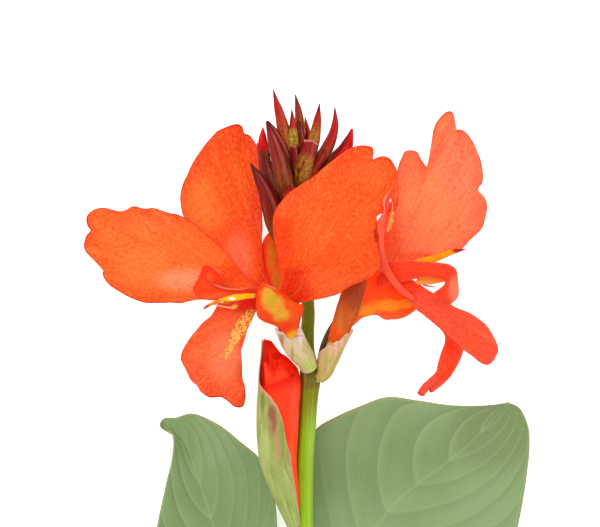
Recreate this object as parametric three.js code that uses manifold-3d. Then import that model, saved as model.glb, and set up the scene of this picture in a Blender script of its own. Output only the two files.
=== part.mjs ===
// Canna lily: one cut flowering shoot with two leaves, lying on its back on a flat surface (z = 0).
// Millimetres. +Y runs from the cut end to the flower buds, +Z points up, away from the surface.
// The pieces are drawn with the stem on x = 0; the finished shoot is then moved so that the origin is
// the middle of its outer box, on the surface.
//
// Petals and leaves are thin bodies of even thickness, laid over a curved surface between a left and a
// right edge, both read in the growing direction. Bracts, sheaths and the bud's petals wrap a curved
// axis. Stem, tubes and buds are round bodies on a curved axis. Each piece is cut back so that a small
// gap stays between it and what carries it.

import * as THREE from 'three';
import { mergeVertices } from 'three/addons/utils/BufferGeometryUtils.js';
import Module from 'manifold-3d';

const wasm = await Module();
wasm.setup();

// ---------------------------------------------------------------- driving dimensions (mm)

const GAP = 0.3;                  // between touching pieces
const PETAL_THICK = 0.8;
const BRACT_THICK = 0.8;
const BUD_THICK = 0.7;
const LEAF_THICK = 0.9;
const SHEATH_THICK = 1.0;
const CUT_Y = -157;               // the cut end of the stem
const STEM_R = 3.3;               // flower stalk
const NODE_R = 4.0;               // swollen ring below the flowers
const RACHIS_R = 2.3;             // above the ring
const VEINS = 9;                  // pairs of raised side veins on a leaf
const VEIN_RELIEF = 0.35;
const BOX_MIDDLE = [1.31, -11.35];  // of the shoot as drawn

// The stalk's centre line, from the cut end to the bud head.
const STALK = [[0, CUT_Y, 5.8], [-0.3, -100, 9], [-0.3, -50, 13], [-0.2, 0, 18.2], [0.7, 13, 20.2],
  [1.3, 24, 21.6], [1.8, 31, 22.6], [0.9, 40, 23.4], [0.9, 48, 24], [1.2, 54, 24.6], [0.6, 62, 25.5],
  [-0.8, 74, 26.8], [-1.8, 83, 27.8]];

// ---------------------------------------------------------------- curves

const vec = ([x, y, z = 0]) => new THREE.Vector3(x, y, z);

// A smooth route through points, evaluated by its share of length.
function route(points) {
  const curve = new THREE.CatmullRomCurve3(points.map(vec), false, 'centripetal');
  return (t) => curve.getPointAt(THREE.MathUtils.clamp(t, 0, 1));
}

// A smooth number through evenly spaced values.
function blendOf(values) {
  const last = values.length - 1;
  const slope = values.map((v, i) => {
    const before = Math.max(i - 1, 0);
    const after = Math.min(i + 1, last);
    return after > before ? (values[after] - values[before]) / (after - before) : 0;
  });
  return (t) => {
    const x = THREE.MathUtils.clamp(t, 0, 1) * last;
    const i = Math.min(Math.floor(x), Math.max(last - 1, 0));
    const next = Math.min(i + 1, last);
    const u = x - i;
    return THREE.MathUtils.lerp(values[i], values[next], THREE.MathUtils.smoothstep(u, 0, 1))
      + u * (1 - u) * ((1 - u) * slope[i] - u * slope[next]);
  };
}

// Straight stretches between [position, value] knots.
function rampOf(knots) {
  return (t) => {
    const k = Math.max(1, knots.findIndex(([at]) => at >= t));
    const [a, va] = knots[k - 1];
    const [b, vb] = knots[k];
    return THREE.MathUtils.mapLinear(THREE.MathUtils.clamp(t, a, b), a, b, va, vb);
  };
}

// Side and up directions across a route, up being the one nearest +Z.
function frameAt(path, t) {
  const step = 0.01;
  const ahead = path(t + step).sub(path(t - step)).normalize();
  const side = new THREE.Vector3().crossVectors(ahead, new THREE.Vector3(0, 0, 1)).normalize();
  return { side, up: new THREE.Vector3().crossVectors(side, ahead) };
}

// ---------------------------------------------------------------- closed bodies

function solidFrom(points, triangles) {
  const raw = new THREE.BufferGeometry();
  raw.setAttribute('position', new THREE.Float32BufferAttribute(points.flatMap((p) => p.toArray()), 3));
  raw.setIndex(triangles.flat());
  const merged = mergeVertices(raw, 1e-4);
  const index = Array.from(merged.index.array);
  const kept = [];
  for (let i = 0; i < index.length; i += 3) {
    const [a, b, c] = index.slice(i, i + 3);
    if (a !== b && b !== c && a !== c) kept.push(a, b, c);
  }
  return new wasm.Manifold(new wasm.Mesh({
    numProp: 3,
    vertProperties: new Float32Array(merged.attributes.position.array),
    triVerts: new Uint32Array(kept),
  }));
}

// A thin body over surface(s, t), s from -1 (left edge) to 1 (right edge), t from base to tip.
function slab(surface, { across = 6, rows = 20, thick = PETAL_THICK }, grow) {
  const e = 0.02;  // step for the slopes
  const points = [];
  for (const face of [1, -1]) {
    for (let i = 0; i <= rows; i += 1) {
      for (let j = 0; j <= across; j += 1) {
        const s = -1 + (2 * j) / across;
        const t = i / rows;
        const tIn = THREE.MathUtils.clamp(t, 2 * e, 1 - 2 * e);
        const du = surface(s + e, tIn).sub(surface(s - e, tIn)).normalize();
        const dv = surface(s, tIn + e).sub(surface(s, tIn - e)).normalize();
        const normal = new THREE.Vector3().crossVectors(du, dv).normalize();
        const p = surface(s, t).addScaledVector(normal, face * (thick / 2 + grow));
        if (j === 0 || j === across) p.addScaledVector(du, Math.sign(s) * grow);
        if (i === 0 || i === rows) p.addScaledVector(dv, Math.sign(i - 0.5) * grow);
        points.push(p);
      }
    }
  }
  const at = (face, i, j) => (face * (rows + 1) + i) * (across + 1) + j;
  const triangles = [];
  const quad = (a, b, c, d) => triangles.push([a, b, c], [a, c, d]);
  for (let i = 0; i < rows; i += 1) {
    for (let j = 0; j < across; j += 1) {
      quad(at(0, i, j), at(0, i, j + 1), at(0, i + 1, j + 1), at(0, i + 1, j));
      triangles.push([at(1, i, j), at(1, i + 1, j + 1), at(1, i, j + 1)]);
      triangles.push([at(1, i, j), at(1, i + 1, j), at(1, i + 1, j + 1)]);
    }
    quad(at(0, i, 0), at(0, i + 1, 0), at(1, i + 1, 0), at(1, i, 0));
    quad(at(0, i + 1, across), at(0, i, across), at(1, i, across), at(1, i + 1, across));
  }
  for (let j = 0; j < across; j += 1) {
    quad(at(0, 0, j + 1), at(0, 0, j), at(1, 0, j), at(1, 0, j + 1));
    quad(at(0, rows, j), at(0, rows, j + 1), at(1, rows, j + 1), at(1, rows, j));
  }
  return solidFrom(points, triangles);
}

// A round body along a path, with radius(t) from its start to its end.
function rod(points, radius, { sides, rows }, grow) {
  const path = route(points);
  const rim = [];
  for (let i = 0; i <= rows; i += 1) {
    const t = i / rows;
    const { side, up } = frameAt(path, t);
    for (let j = 0; j < sides; j += 1) {
      const a = (2 * Math.PI * j) / sides;
      const r = radius(t) + grow;
      rim.push(path(t).addScaledVector(side, r * Math.sin(a)).addScaledVector(up, r * Math.cos(a)));
    }
  }
  const start = rim.push(path(0)) - 1;
  const end = rim.push(path(1)) - 1;
  const triangles = [];
  for (let j = 0; j < sides; j += 1) {
    const k = (j + 1) % sides;
    for (let i = 0; i < rows; i += 1) {
      const a = i * sides + j;
      const b = i * sides + k;
      triangles.push([a, b + sides, a + sides], [a, b, b + sides]);
    }
    triangles.push([start, k, j], [end, rows * sides + j, rows * sides + k]);
  }
  return solidFrom(rim, triangles);
}

function largestOf(solid) {
  return solid.decompose().reduce((a, b) => (a.volume() > b.volume() ? a : b));
}

// ---------------------------------------------------------------- surfaces

// A blade between two edges. end, if given, is the outline of its far end, from the left edge to the
// right. depth lifts the blade along its length, tilt raises the right edge over the left, camber
// arches it across, and wave = [height, count, phase] ruffles the edges.
function blade({ left, right, end, depth, tilt = [0], camber = [0], wave = [0, 1, 0], ...grid }) {
  const [l, r] = [left, right].map(route);
  const tip = end && route(end);
  const [z, slope, arch] = [depth, tilt, camber].map(blendOf);
  const [height, count, phase] = wave;
  const endFrom = 0.35;  // where the end outline starts to shape the blade
  const surface = (s, t) => {
    const share = (s + 1) / 2;
    const p = l(t).lerp(r(t), share);
    if (tip) {
      const pull = THREE.MathUtils.clamp((t - endFrom) / (1 - endFrom), 0, 1) ** 1.5;
      p.add(tip(share).sub(tip(0).lerp(tip(1), share)).multiplyScalar(pull));
    }
    const ruffle = height * s * Math.abs(s) * Math.sin(2 * Math.PI * (count * t + phase));
    p.z += z(t) + slope(t) * s + arch(t) * (1 - s * s) + ruffle;
    return p;
  };
  return (grow) => slab(surface, grid, grow);
}

// A bract, sheath or petal that wraps a round body from one share of the axis to another. turn is the
// angle of its middle from +Z towards the right, and span its full angle. Its free edge follows rim,
// a list of [angle, share of the axis], or falls back to the sides by point.
function wrap({ axis, from = 0, to = 1, radius, turn, span, point = 0, rim, ...grid }) {
  const path = route(axis);
  const r = blendOf(radius);
  const edge = rim && rampOf(rim);
  const narrowing = 0.35 * point;
  const surface = (s, t) => {
    const flat = turn + (s * span) / 2;
    const reach = edge
      ? from + (edge(flat) - from) * t
      : from + (to - from) * t * (1 - point * s * s);
    const { side, up } = frameAt(path, reach);
    const a = THREE.MathUtils.degToRad(turn + (s * span * (1 - narrowing * t)) / 2);
    const away = r((reach - from) / (to - from));
    return path(reach).addScaledVector(side, away * Math.sin(a)).addScaledVector(up, away * Math.cos(a));
  };
  return (grow) => slab(surface, grid, grow);
}

// ---------------------------------------------------------------- pieces

const plant = new THREE.Group();
const built = {};

const finish = (color, roughness = 0.6) => new THREE.MeshStandardMaterial({ color, roughness, metalness: 0 });
const LOOK = {
  stem: finish('#8cb41e', 0.5),
  leaf: finish('#8ca573'),
  petal: finish('#f8552a', 0.55),
  yellow: finish('#f0a020', 0.55),
  maroon: finish('#6a1a26', 0.4),
  bract: finish('#b9c29a', 0.55),
  red: finish('#e8281c', 0.45),
};

// Everything below the surface that the shoot lies on.
function below() {
  const size = 800;
  const depth = 50;
  const block = new THREE.BoxGeometry(size, size, depth).translate(0, 0, -depth / 2);
  const place = block.attributes.position;
  const corner = (_, i) => new THREE.Vector3().fromBufferAttribute(place, i);
  return solidFrom(Array.from({ length: place.count }, corner), Array.from(block.index.array));
}

const BELOW = below();

// Adds one piece: build(grow) gives its body, clearOf names the pieces that it is cut back from.
function piece(name, look, build, clearOf = []) {
  let solid = build(0).subtract(BELOW);
  for (const other of clearOf) solid = solid.subtract(built[other]);
  solid = largestOf(solid);
  built[name] = build(GAP);
  const mesh = solid.getMesh();
  const geometry = new THREE.BufferGeometry();
  geometry.setAttribute('position', new THREE.BufferAttribute(new Float32Array(mesh.vertProperties), 3));
  geometry.setIndex(new THREE.BufferAttribute(new Uint32Array(mesh.triVerts), 1));
  const body = new THREE.Mesh(geometry, look);
  body.name = name;
  plant.add(body);
}

// ---------------------------------------------------------------- stem and leaves

function stem() {
  const radius = rampOf([[0, STEM_R + 0.1], [0.73, STEM_R - 0.1], [0.765, STEM_R + 0.3], [0.78, NODE_R],
    [0.79, NODE_R - 0.2], [0.815, RACHIS_R + 0.2], [1, RACHIS_R - 0.3]]);
  piece('stem', LOOK.stem, (grow) => rod(STALK, radius, { sides: 12, rows: 28 }, grow));
}

const LEAVES = {
  leaf_right: {
    mid: [[1.5, -118], [3, -100], [8, -64], [29, -20.5], [59, 4.7], [74.5, 21]],
    left: [[0.5, -118], [-2, -85], [-4, -50], [-4, -20], [-1, 2], [4, 11.2], [11.2, 15.7], [20.3, 19.7],
      [30, 23], [41, 21.8], [54, 20], [67, 20], [74.5, 21]],
    right: [[2.5, -118], [18, -105], [40, -86], [61, -60], [75.6, -32], [81.6, -1], [82.1, 6],
      [81.9, 11], [80.4, 15.8], [78.3, 19.2], [74.5, 21]],
    depth: [3.4, 2.4, 1.6, 1.4, 1.7, 3.5],
    sides: [0, 3.5, 5, 5, 4, 0],
    sheath: { inner: STEM_R + 0.5, turn: 150, to: 0.175 },
  },
  leaf_left: {
    mid: [[-1.5, -120], [-6, -104], [-13, -85], [-27, -45], [-38, -10], [-47, 15.5]],
    left: [[-2.5, -120], [-14, -112], [-35, -94], [-50, -66], [-55, -35], [-51, -10], [-48.6, 0],
      [-48, 7.6], [-49, 10.6], [-51.6, 11.2], [-53.1, 12.6], [-51.8, 15.1], [-47, 15.5]],
    right: [[-0.5, -120], [-3, -100], [-8, -72], [-10, -42], [-11, -15], [-15.7, -0.6], [-23.6, 6.7],
      [-32.5, 13.5], [-41.4, 17], [-47, 15.5]],
    depth: [3.6, 2.4, 1.7, 1.4, 1.6, 5],
    sides: [0, 3, 5, 6, 6, 0],
    sheath: { inner: STEM_R + 2.0, turn: -150, to: 0.16 },
  },
};

// Leaf blade with side veins pressed into it, midrib underneath, and the sheath round the stalk.
function leaf(name, clearOf) {
  const { mid, left, right, depth, sides, sheath } = LEAVES[name];
  const [m, l, r] = [mid, left, right].map(route);
  const [z, rise] = [depth, sides].map(blendOf);
  const surface = (s, t) => {
    const p = m(t).lerp(s < 0 ? l(t) : r(t), Math.abs(s));
    const vein = Math.sin(2 * Math.PI * VEINS * (t - 0.12 * Math.abs(s))) * Math.sin(Math.PI * t);
    p.z += z(t) + rise(t) * Math.abs(s) ** 1.5 + VEIN_RELIEF * vein * Math.min(1, 4 * Math.abs(s));
    return p;
  };
  const rib = mid.map(([x, y], i) => [x, y, depth[Math.min(i, depth.length - 1)] - 0.6]);
  const ribRadius = blendOf([2.2, 1.9, 1.6, 1.3, 1.0, 0.5]);
  const clasp = wrap({
    axis: STALK, to: sheath.to, radius: [sheath.inner + SHEATH_THICK / 2], turn: sheath.turn,
    span: 330, point: 0.12, thick: SHEATH_THICK, rows: 3, across: 12,
  });
  const build = (grow) => slab(surface, { thick: LEAF_THICK, rows: 20, across: 8 }, grow)
    .add(rod(rib, ribRadius, { sides: 5, rows: 9 }, grow))
    .add(clasp(grow));
  piece(name, LOOK.leaf, build, clearOf);
}

// ---------------------------------------------------------------- left flower

const LEFT_TUBE = [[2, 33.2, 26.5], [0, 37.2, 29], [-3.1, 41.6, 31.8], [-5.2, 46, 34],
  [-7.7, 51.3, 36.4], [-11.2, 57.6, 39.5]];

const LEFT_FLOWER = {
  left_staminode_front: {
    look: 'petal', rows: 24, across: 6,
    left: [[-11.1, 58], [-9.4, 62.3], [-8.9, 68.5], [-9.9, 74.9], [-11.1, 80.2], [-11.4, 85],
      [-11.1, 89.6], [-9.4, 93.2], [-3.4, 98.7], [2.8, 102.8], [9.6, 108.5], [15, 112.3]],
    end: [[15, 112.3], [18.1, 113.7], [20.9, 114.1], [24.2, 113.3], [24.4, 111.4], [24.3, 109.1],
      [26.1, 109.9], [28.6, 110.2], [30.7, 109.1], [32.2, 106.7], [33.2, 104.4]],
    right: [[-5.4, 56.9], [0, 58.1], [7.8, 59.7], [12.8, 61.5], [17.1, 64.1], [21.5, 65.9], [25, 68.1],
      [27.2, 70.9], [26.8, 74.9], [25.7, 79.1], [25.3, 82.4], [26.3, 84.2], [26.4, 86.3], [25.7, 87.3],
      [25.7, 88.5], [26.7, 89.4], [29.7, 90], [31.8, 90.6], [33, 92.4], [33.5, 95.6], [33.5, 99],
      [33.3, 101.9], [33.2, 104.4]],
    depth: [40, 44, 47, 48.5, 48, 46], camber: [0, 2, 3, 2, 0], tilt: [0, 0.5, 0], wave: [0.8, 3, 0],
  },
  left_staminode_upper: {
    look: 'petal', rows: 24, across: 6,
    left: [[-13.3, 58.7], [-19.8, 64.1], [-28.9, 73.8], [-38, 82.5], [-44.3, 89.4], [-45.3, 93.1],
      [-45.3, 96.4], [-44.6, 99.7], [-43.3, 103.5], [-41.6, 107.4], [-39.3, 111.3], [-36.2, 115.7],
      [-32.4, 120.1]],
    end: [[-32.4, 120.1], [-28.9, 121.7], [-25.4, 122.8], [-24.1, 122.7], [-22.9, 121.6], [-22.6, 119.9],
      [-21.9, 119.2], [-20.8, 119], [-19.4, 117.6], [-18, 115.7]],
    right: [[-10.1, 59.4], [-13.3, 65.9], [-15, 72.4], [-15.4, 80], [-15.6, 91.6], [-16.1, 100.4],
      [-16.6, 109.7], [-17.4, 113.4], [-18, 115.7]],
    depth: [37, 33, 26, 17, 7.5, 1], camber: [0, 1.5, 2, 1, 0.3], wave: [0.8, 2.5, 0.2],
  },
  left_staminode_side: {
    look: 'petal', rows: 24, across: 6,
    left: [[-13.3, 56.2], [-23.3, 58.7], [-31.9, 58.7], [-37.5, 58.8], [-44.8, 57.8], [-50.9, 57.6],
      [-56.9, 57.8], [-62.6, 59.4], [-66.8, 61.8], [-70.2, 64], [-72.1, 66.2], [-72.9, 68.2]],
    end: [[-72.9, 68.2], [-72.4, 69.7], [-75.1, 72.4], [-78, 75.2], [-79.2, 76.9], [-79.4, 79],
      [-78.4, 82.1], [-77, 83.7], [-78.1, 85.3], [-78.6, 87.5], [-78.2, 89.1], [-77.1, 90.4]],
    right: [[-11.8, 59.4], [-17.4, 63.5], [-20.2, 65.7], [-24.7, 71.2], [-27.5, 74.7], [-32.3, 79.5],
      [-36.6, 83.3], [-41.2, 87.1], [-44.6, 89.1], [-48.2, 89.9], [-54, 91.5], [-57.6, 91.5],
      [-61.9, 92.5], [-64.1, 91.2], [-66.3, 90.5], [-71.7, 91.8], [-75.1, 91.5], [-77.1, 90.4]],
    depth: [42, 43.5, 44, 43, 41, 38], camber: [0, 2, 2.5, 1.5, 0], tilt: [0, -1, -1.5, 0],
    wave: [0.7, 3, 0.4],
  },
  left_lip: {
    look: 'petal', rows: 20, across: 6,
    left: [[-11, 55.2], [-14.6, 56], [-16.9, 55.4], [-18.1, 53.6], [-19.3, 51], [-20.6, 48.2],
      [-21.8, 44.6], [-22.9, 40.7], [-22.8, 35.2], [-22.6, 30.3], [-21.9, 27.5], [-21.5, 24],
      [-21.9, 21.4]],
    end: [[-21.9, 21.4], [-22.5, 20.2], [-23.5, 19.7], [-25.5, 20.1], [-27.2, 21.4], [-28.4, 22.4],
      [-30.6, 23.5], [-33.3, 23.3], [-35, 23.5], [-37.9, 25.4]],
    right: [[-12.4, 59.4], [-17, 58.6], [-21.6, 57.8], [-24.4, 57.6], [-27.6, 57.6], [-31, 57.4],
      [-32.4, 55.2], [-33.8, 53], [-36, 51.1], [-38.6, 48.6], [-41.3, 45.1], [-44.8, 39], [-44.7, 36.6],
      [-43, 33.3], [-41.2, 29.5], [-39.1, 27.5], [-37.9, 25.4]],
    depth: [39, 38, 34, 28, 22], camber: [0, 2, 2, 0.5], wave: [0.8, 3, 0],
  },
  left_stamen: {
    look: 'petal', rows: 14, across: 4,
    left: [[-12.6, 58], [-16.8, 61.1], [-21.5, 61.1], [-28.6, 59.7], [-33.3, 58.8], [-36.5, 59.6],
      [-38.3, 60.2], [-39.8, 61.7], [-40.1, 63.1], [-38.7, 65.4], [-37.4, 68.4], [-36.3, 70.8]],
    right: [[-12.6, 61.2], [-17.6, 63.8], [-22.9, 62.9], [-26.5, 62.8], [-30.2, 63.3], [-33.3, 64.6],
      [-34.9, 66.1], [-35.2, 68.4], [-36.3, 70.8]],
    depth: [43, 46, 47.5, 48.5, 50], camber: [0, 0.5, -1, -0.5], tilt: [0, 0, 1.2, 0.6],
  },
  left_style: {
    look: 'yellow', rows: 10, across: 2, thick: 1.1,
    left: [[-16.4, 59.8], [-18.1, 59.6], [-20.7, 59.4], [-23.2, 58.9], [-25, 58.6], [-27.2, 58.4],
      [-29.1, 58.4], [-31.5, 57.9], [-34, 57.1], [-36.3, 55.7]],
    right: [[-16.4, 60.9], [-18.1, 61], [-20.7, 61], [-23.2, 60.8], [-25.7, 60.6], [-28.1, 59.9],
      [-29.7, 59.3], [-31.8, 58.4], [-34, 57.5], [-36.3, 55.7]],
    depth: [46.5, 50, 50.5, 50, 49, 48.5], camber: [0, 0.6, 0.5, 0.3, 0],
  },
  left_petal_front: {
    look: 'yellow', rows: 12, across: 6,
    left: [[-5.6, 45], [-8.6, 47.9], [-11.1, 49.8], [-14.7, 51], [-16.8, 52.8], [-17.5, 55.9],
      [-17.5, 59.1], [-17.1, 62], [-15.2, 64.9]],
    right: [[-3.7, 45.6], [-2.3, 49], [-1.5, 52.3], [-0.7, 54.6], [-0.7, 56.7], [-3.7, 58], [-6.9, 61],
      [-9.6, 62.6], [-12.5, 63.8], [-15.2, 64.9]],
    depth: [38.5, 42, 45, 48.5, 51], camber: [0.5, 3.5, 3.5, 1],
  },
  left_petal_back: {
    look: 'yellow', rows: 12, across: 4,
    left: [[-12.6, 56.5], [-14, 64], [-15, 70], [-15.5, 76], [-15.2, 79.8], [-14, 82], [-12.6, 83.4]],
    right: [[-8.6, 56.5], [-7.4, 64.1], [-8, 71], [-9.4, 77.4], [-10.8, 81.4], [-12.6, 83.4]],
    depth: [34.5, 31, 27.5, 25], camber: [0, 1, 1, 0],
  },
};

const LEFT_CALYX = {
  from: 0.03, to: 0.75, radius: [2.7, 3.9, 4.3, 3.9], turn: 5, span: 210, rows: 8, across: 8,
  rim: [[-100, 0.7], [-70, 0.73], [-40, 0.67], [0, 0.69], [40, 0.75], [70, 0.74], [110, 0.6]],
};

function leftFlower() {
  const before = ['stem'];
  const tubeRadius = rampOf([[0, 1.6], [0.2, 2.3], [0.45, 2.9], [0.8, 3.2], [0.95, 3], [1, 2.2]]);
  const tube = (grow) => rod(LEFT_TUBE, tubeRadius, { sides: 10, rows: 10 }, grow);
  piece('left_tube', LOOK.bract, tube, before);
  before.push('left_tube');
  const bract = wrap({ axis: LEFT_TUBE, thick: BRACT_THICK, ...LEFT_CALYX });
  piece('left_bract', LOOK.bract, bract, before);
  before.push('left_bract');
  for (const [name, spec] of Object.entries(LEFT_FLOWER)) {
    piece(name, LOOK[spec.look], blade(spec), before);
    before.push(name);
  }
}

// ---------------------------------------------------------------- right flower

const RIGHT_TUBE = [[4.2, 29.2, 24.3], [6.9, 32.4, 25.3], [8.1, 36.7, 26.6], [9.9, 41.4, 27.5],
  [12.1, 46, 28], [17.9, 54.6, 28], [27.3, 65, 27.5]];

const RIGHT_BRACTS = {
  right_bract_lower: {
    from: 0.03, to: 0.58, radius: [1.7, 3, 3.7, 3.85, 3.7, 3.6], turn: 25, span: 250, rows: 7, across: 10,
    rim: [[-100, 0.16], [-86, 0.23], [-63, 0.266], [-35, 0.308], [-25, 0.35], [-15, 0.345], [5, 0.4],
      [18, 0.405], [28, 0.45], [36, 0.53], [60, 0.55], [100, 0.5], [150, 0.36]],
  },
  right_bract_back: {
    from: 0.06, to: 0.64, radius: [1.8, 3.2, 4, 4.2, 4.2, 4.4], turn: -128, span: 84, rows: 8, across: 4,
    rim: [[-170, 0.4], [-120, 0.6], [-86, 0.64]],
  },
};

const RIGHT_FLOWER = {
  right_staminode_upper: {
    look: 'petal', rows: 24, across: 6,
    left: [[24.5, 61.9], [26.3, 71.3], [26.3, 80.3], [28.8, 88.4], [31.4, 97], [33.5, 104.9],
      [34.8, 109], [36.4, 112.7]],
    end: [[36.4, 112.7], [37.8, 113.3], [39.2, 113.3], [41.4, 112.4], [42.1, 110.6], [43.3, 108.8],
      [44.9, 106.6], [45.3, 108.8], [45.8, 112], [46.4, 115.4], [47.7, 122.4], [51.1, 126.8],
      [52.6, 127.6], [53.9, 127.4], [54.7, 124.2], [54.9, 120.5], [55.6, 120.2], [56.6, 121],
      [59.2, 119.5], [61.9, 115.8]],
    right: [[29.3, 61.9], [34.4, 67.4], [40.2, 71.2], [49, 73.7], [56.5, 76.6], [60, 80.3], [63.2, 83.5],
      [65.2, 86.2], [66, 88.8], [66.4, 92.1], [66.2, 94.3], [65.2, 96.3], [63.2, 98.4], [63.5, 99.8],
      [64.5, 100.7], [65.2, 103.6], [64.3, 109.1], [61.9, 115.8]],
    depth: [28, 25, 19, 12, 5.5, 1], camber: [0, 1.5, 2, 1.5, 0.3], wave: [0.8, 2.5, 0],
  },
  right_petal_upper: {
    look: 'yellow', rows: 12, across: 4,
    left: [[27.1, 67.3], [39.7, 73], [47, 75], [53.1, 76.9], [58.4, 77]],
    right: [[28.2, 62.6], [37.9, 70.2], [45.2, 71.8], [48.8, 73.1], [52.4, 74.7], [58.4, 77]],
    depth: [30, 30, 28, 27], camber: [0, 0.8, 0.5, 0],
  },
  right_petal_lower: {
    look: 'yellow', rows: 14, across: 6,
    left: [[17.3, 56.5], [20, 64.5], [26.4, 70], [33.6, 69], [38.4, 63], [41.6, 56.6]],
    right: [[14.8, 47.8], [17.5, 49.5], [19.8, 51.6], [22.2, 52.8], [25.8, 53.1], [28.7, 51.7],
      [32.7, 51.6], [37.2, 53], [41.6, 56.6]],
    depth: [30.5, 31.5, 30.5, 28, 26.5], camber: [1.5, 1.5, 1, 0.5], tilt: [-1.5, -1.5, -0.5, 0],
  },
  right_lip: {
    look: 'petal', rows: 20, across: 6,
    left: [[25.9, 66], [33.5, 68], [39.2, 65.5], [45.3, 61.6], [50.4, 58.3], [54.6, 55.9], [58.6, 54.3],
      [61.9, 52.5], [65.3, 49.8], [67.6, 46.5], [69.8, 42], [69.9, 40.1], [68.3, 36.5]],
    right: [[27.6, 65.6], [31.7, 63], [36.2, 59.6], [40.5, 55.3], [46.9, 49.8], [52.4, 45], [57.6, 40.4],
      [60.4, 38.4], [63.5, 35.9], [66.1, 35.1], [68.3, 36.5]],
    depth: [34.5, 36, 35.5, 32, 27, 22], camber: [0, 1.5, 1.5, 1, 0],
  },
  right_ribbon: {
    look: 'petal', rows: 18, across: 4,
    left: [[28.2, 63], [40.5, 60.8], [50.1, 54.2], [56, 46.5], [57.6, 40.5], [56.7, 37], [54.6, 32.8],
      [52.4, 29.7], [49.5, 26.9], [46.7, 24.8]],
    end: [[46.7, 24.8], [45.9, 24.7], [44.8, 26.7], [44.1, 25], [43.4, 23.5], [41.9, 23.7], [41, 24.6]],
    right: [[28.6, 61.8], [33, 60.4], [38.2, 56.6], [46, 51], [50.6, 46.2], [50.9, 43.6], [49.7, 39.6],
      [48.5, 35.5], [47.8, 32.4], [45.1, 29.6], [42.6, 27.2], [41, 24.6]],
    depth: [27.5, 25, 21, 14, 8, 4], camber: [0, 1, 1, 0.5],
  },
  right_staminode_curled: {
    look: 'petal', rows: 20, across: 4,
    left: [[25.9, 67], [30.2, 72.2], [34.1, 72.9], [43.1, 72.4], [48.2, 72], [51.5, 71.5], [53.9, 70],
      [54.7, 67], [55.2, 63], [55.1, 60.5], [54.3, 58.9], [52.1, 57.1]],
    right: [[25.9, 63.4], [32.3, 64.5], [39.1, 66.3], [44.9, 67], [47, 66.8], [48.8, 66.4], [50.2, 65.4],
      [50, 63.8], [48.4, 62.1], [45.9, 61.1], [45.2, 59.6], [52.1, 57.1]],
    depth: [36, 39, 40, 41.5, 42.5, 41, 37], camber: [0, 1, 1, 0.5],
  },
  right_stamen: {
    look: 'petal', rows: 14, across: 2, thick: 1.1,
    left: [[39.5, 58.4], [35.9, 60], [32.6, 62.8], [29.8, 66.3], [27.3, 70.4], [26.3, 75.4],
      [25.9, 80.2], [25.8, 84.6], [26, 86.9], [27.4, 89.1], [28.3, 91.6], [28.9, 94], [29.8, 96],
      [30.6, 97.2]],
    right: [[39, 59.6], [36.8, 61.9], [34.1, 64.5], [31.6, 68.1], [29.4, 72.4], [28.2, 76.7],
      [27.9, 80.3], [28.2, 83.6], [28.6, 86.6], [29.3, 89.1], [30, 91.6], [30.4, 94], [30.6, 96],
      [30.6, 97.2]],
    depth: [38.5, 41, 42, 43.5, 46.5, 50, 51, 51], camber: [0, 0.6, 0.6, 0],
  },
  right_sepal: {
    look: 'maroon', rows: 11, across: 6,
    left: [[5.1, 30], [6.1, 35.5], [7.9, 42.4], [9.7, 50], [11.9, 57.6], [13.5, 61.9], [18, 64.4],
      [22.5, 66.1]],
    right: [[6.5, 29.7], [10.8, 35.5], [14.1, 42.4], [17.1, 49.3], [19.2, 53.5], [20.9, 59.4],
      [22.5, 66.1]],
    depth: [25.2, 26.8, 29.2, 32.6, 34.8, 35], camber: [0.4, 1.4, 1.6, 0.8],
  },
};

function rightFlower() {
  const before = ['stem', 'left_tube', 'left_bract'];
  const tubeRadius = rampOf([[0, 1.0], [0.1, 1.7], [0.25, 2.5], [0.42, 2.2], [0.6, 1.9], [0.8, 2.6],
    [0.93, 2.8], [1, 1.8]]);
  const tube = (grow) => rod(RIGHT_TUBE, tubeRadius, { sides: 10, rows: 10 }, grow);
  piece('right_tube', LOOK.bract, tube, before);
  before.push('right_tube');
  for (const [name, spec] of Object.entries(RIGHT_BRACTS)) {
    piece(name, LOOK.bract, wrap({ axis: RIGHT_TUBE, thick: BRACT_THICK, ...spec }), before);
    before.push(name);
  }
  for (const [name, spec] of Object.entries(RIGHT_FLOWER)) {
    piece(name, LOOK[spec.look], blade(spec), [...before, 'left_staminode_front']);
    before.push(name);
  }
}

// ---------------------------------------------------------------- red bud beside the stem

const BUD_AXIS = [[-2.6, -26, 16], [-6.9, -10, 19.8], [-9.25, 0, 22.2], [-9.8, 8.4, 24],
  [-9.55, 19.8, 25.5], [-8.75, 28, 26.3], [-9.8, 37, 27], [-11.8, 45.5, 27]];
const CORE_AXIS = [...BUD_AXIS.slice(0, 6), [-9.3, 33, 26.7]];

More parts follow.
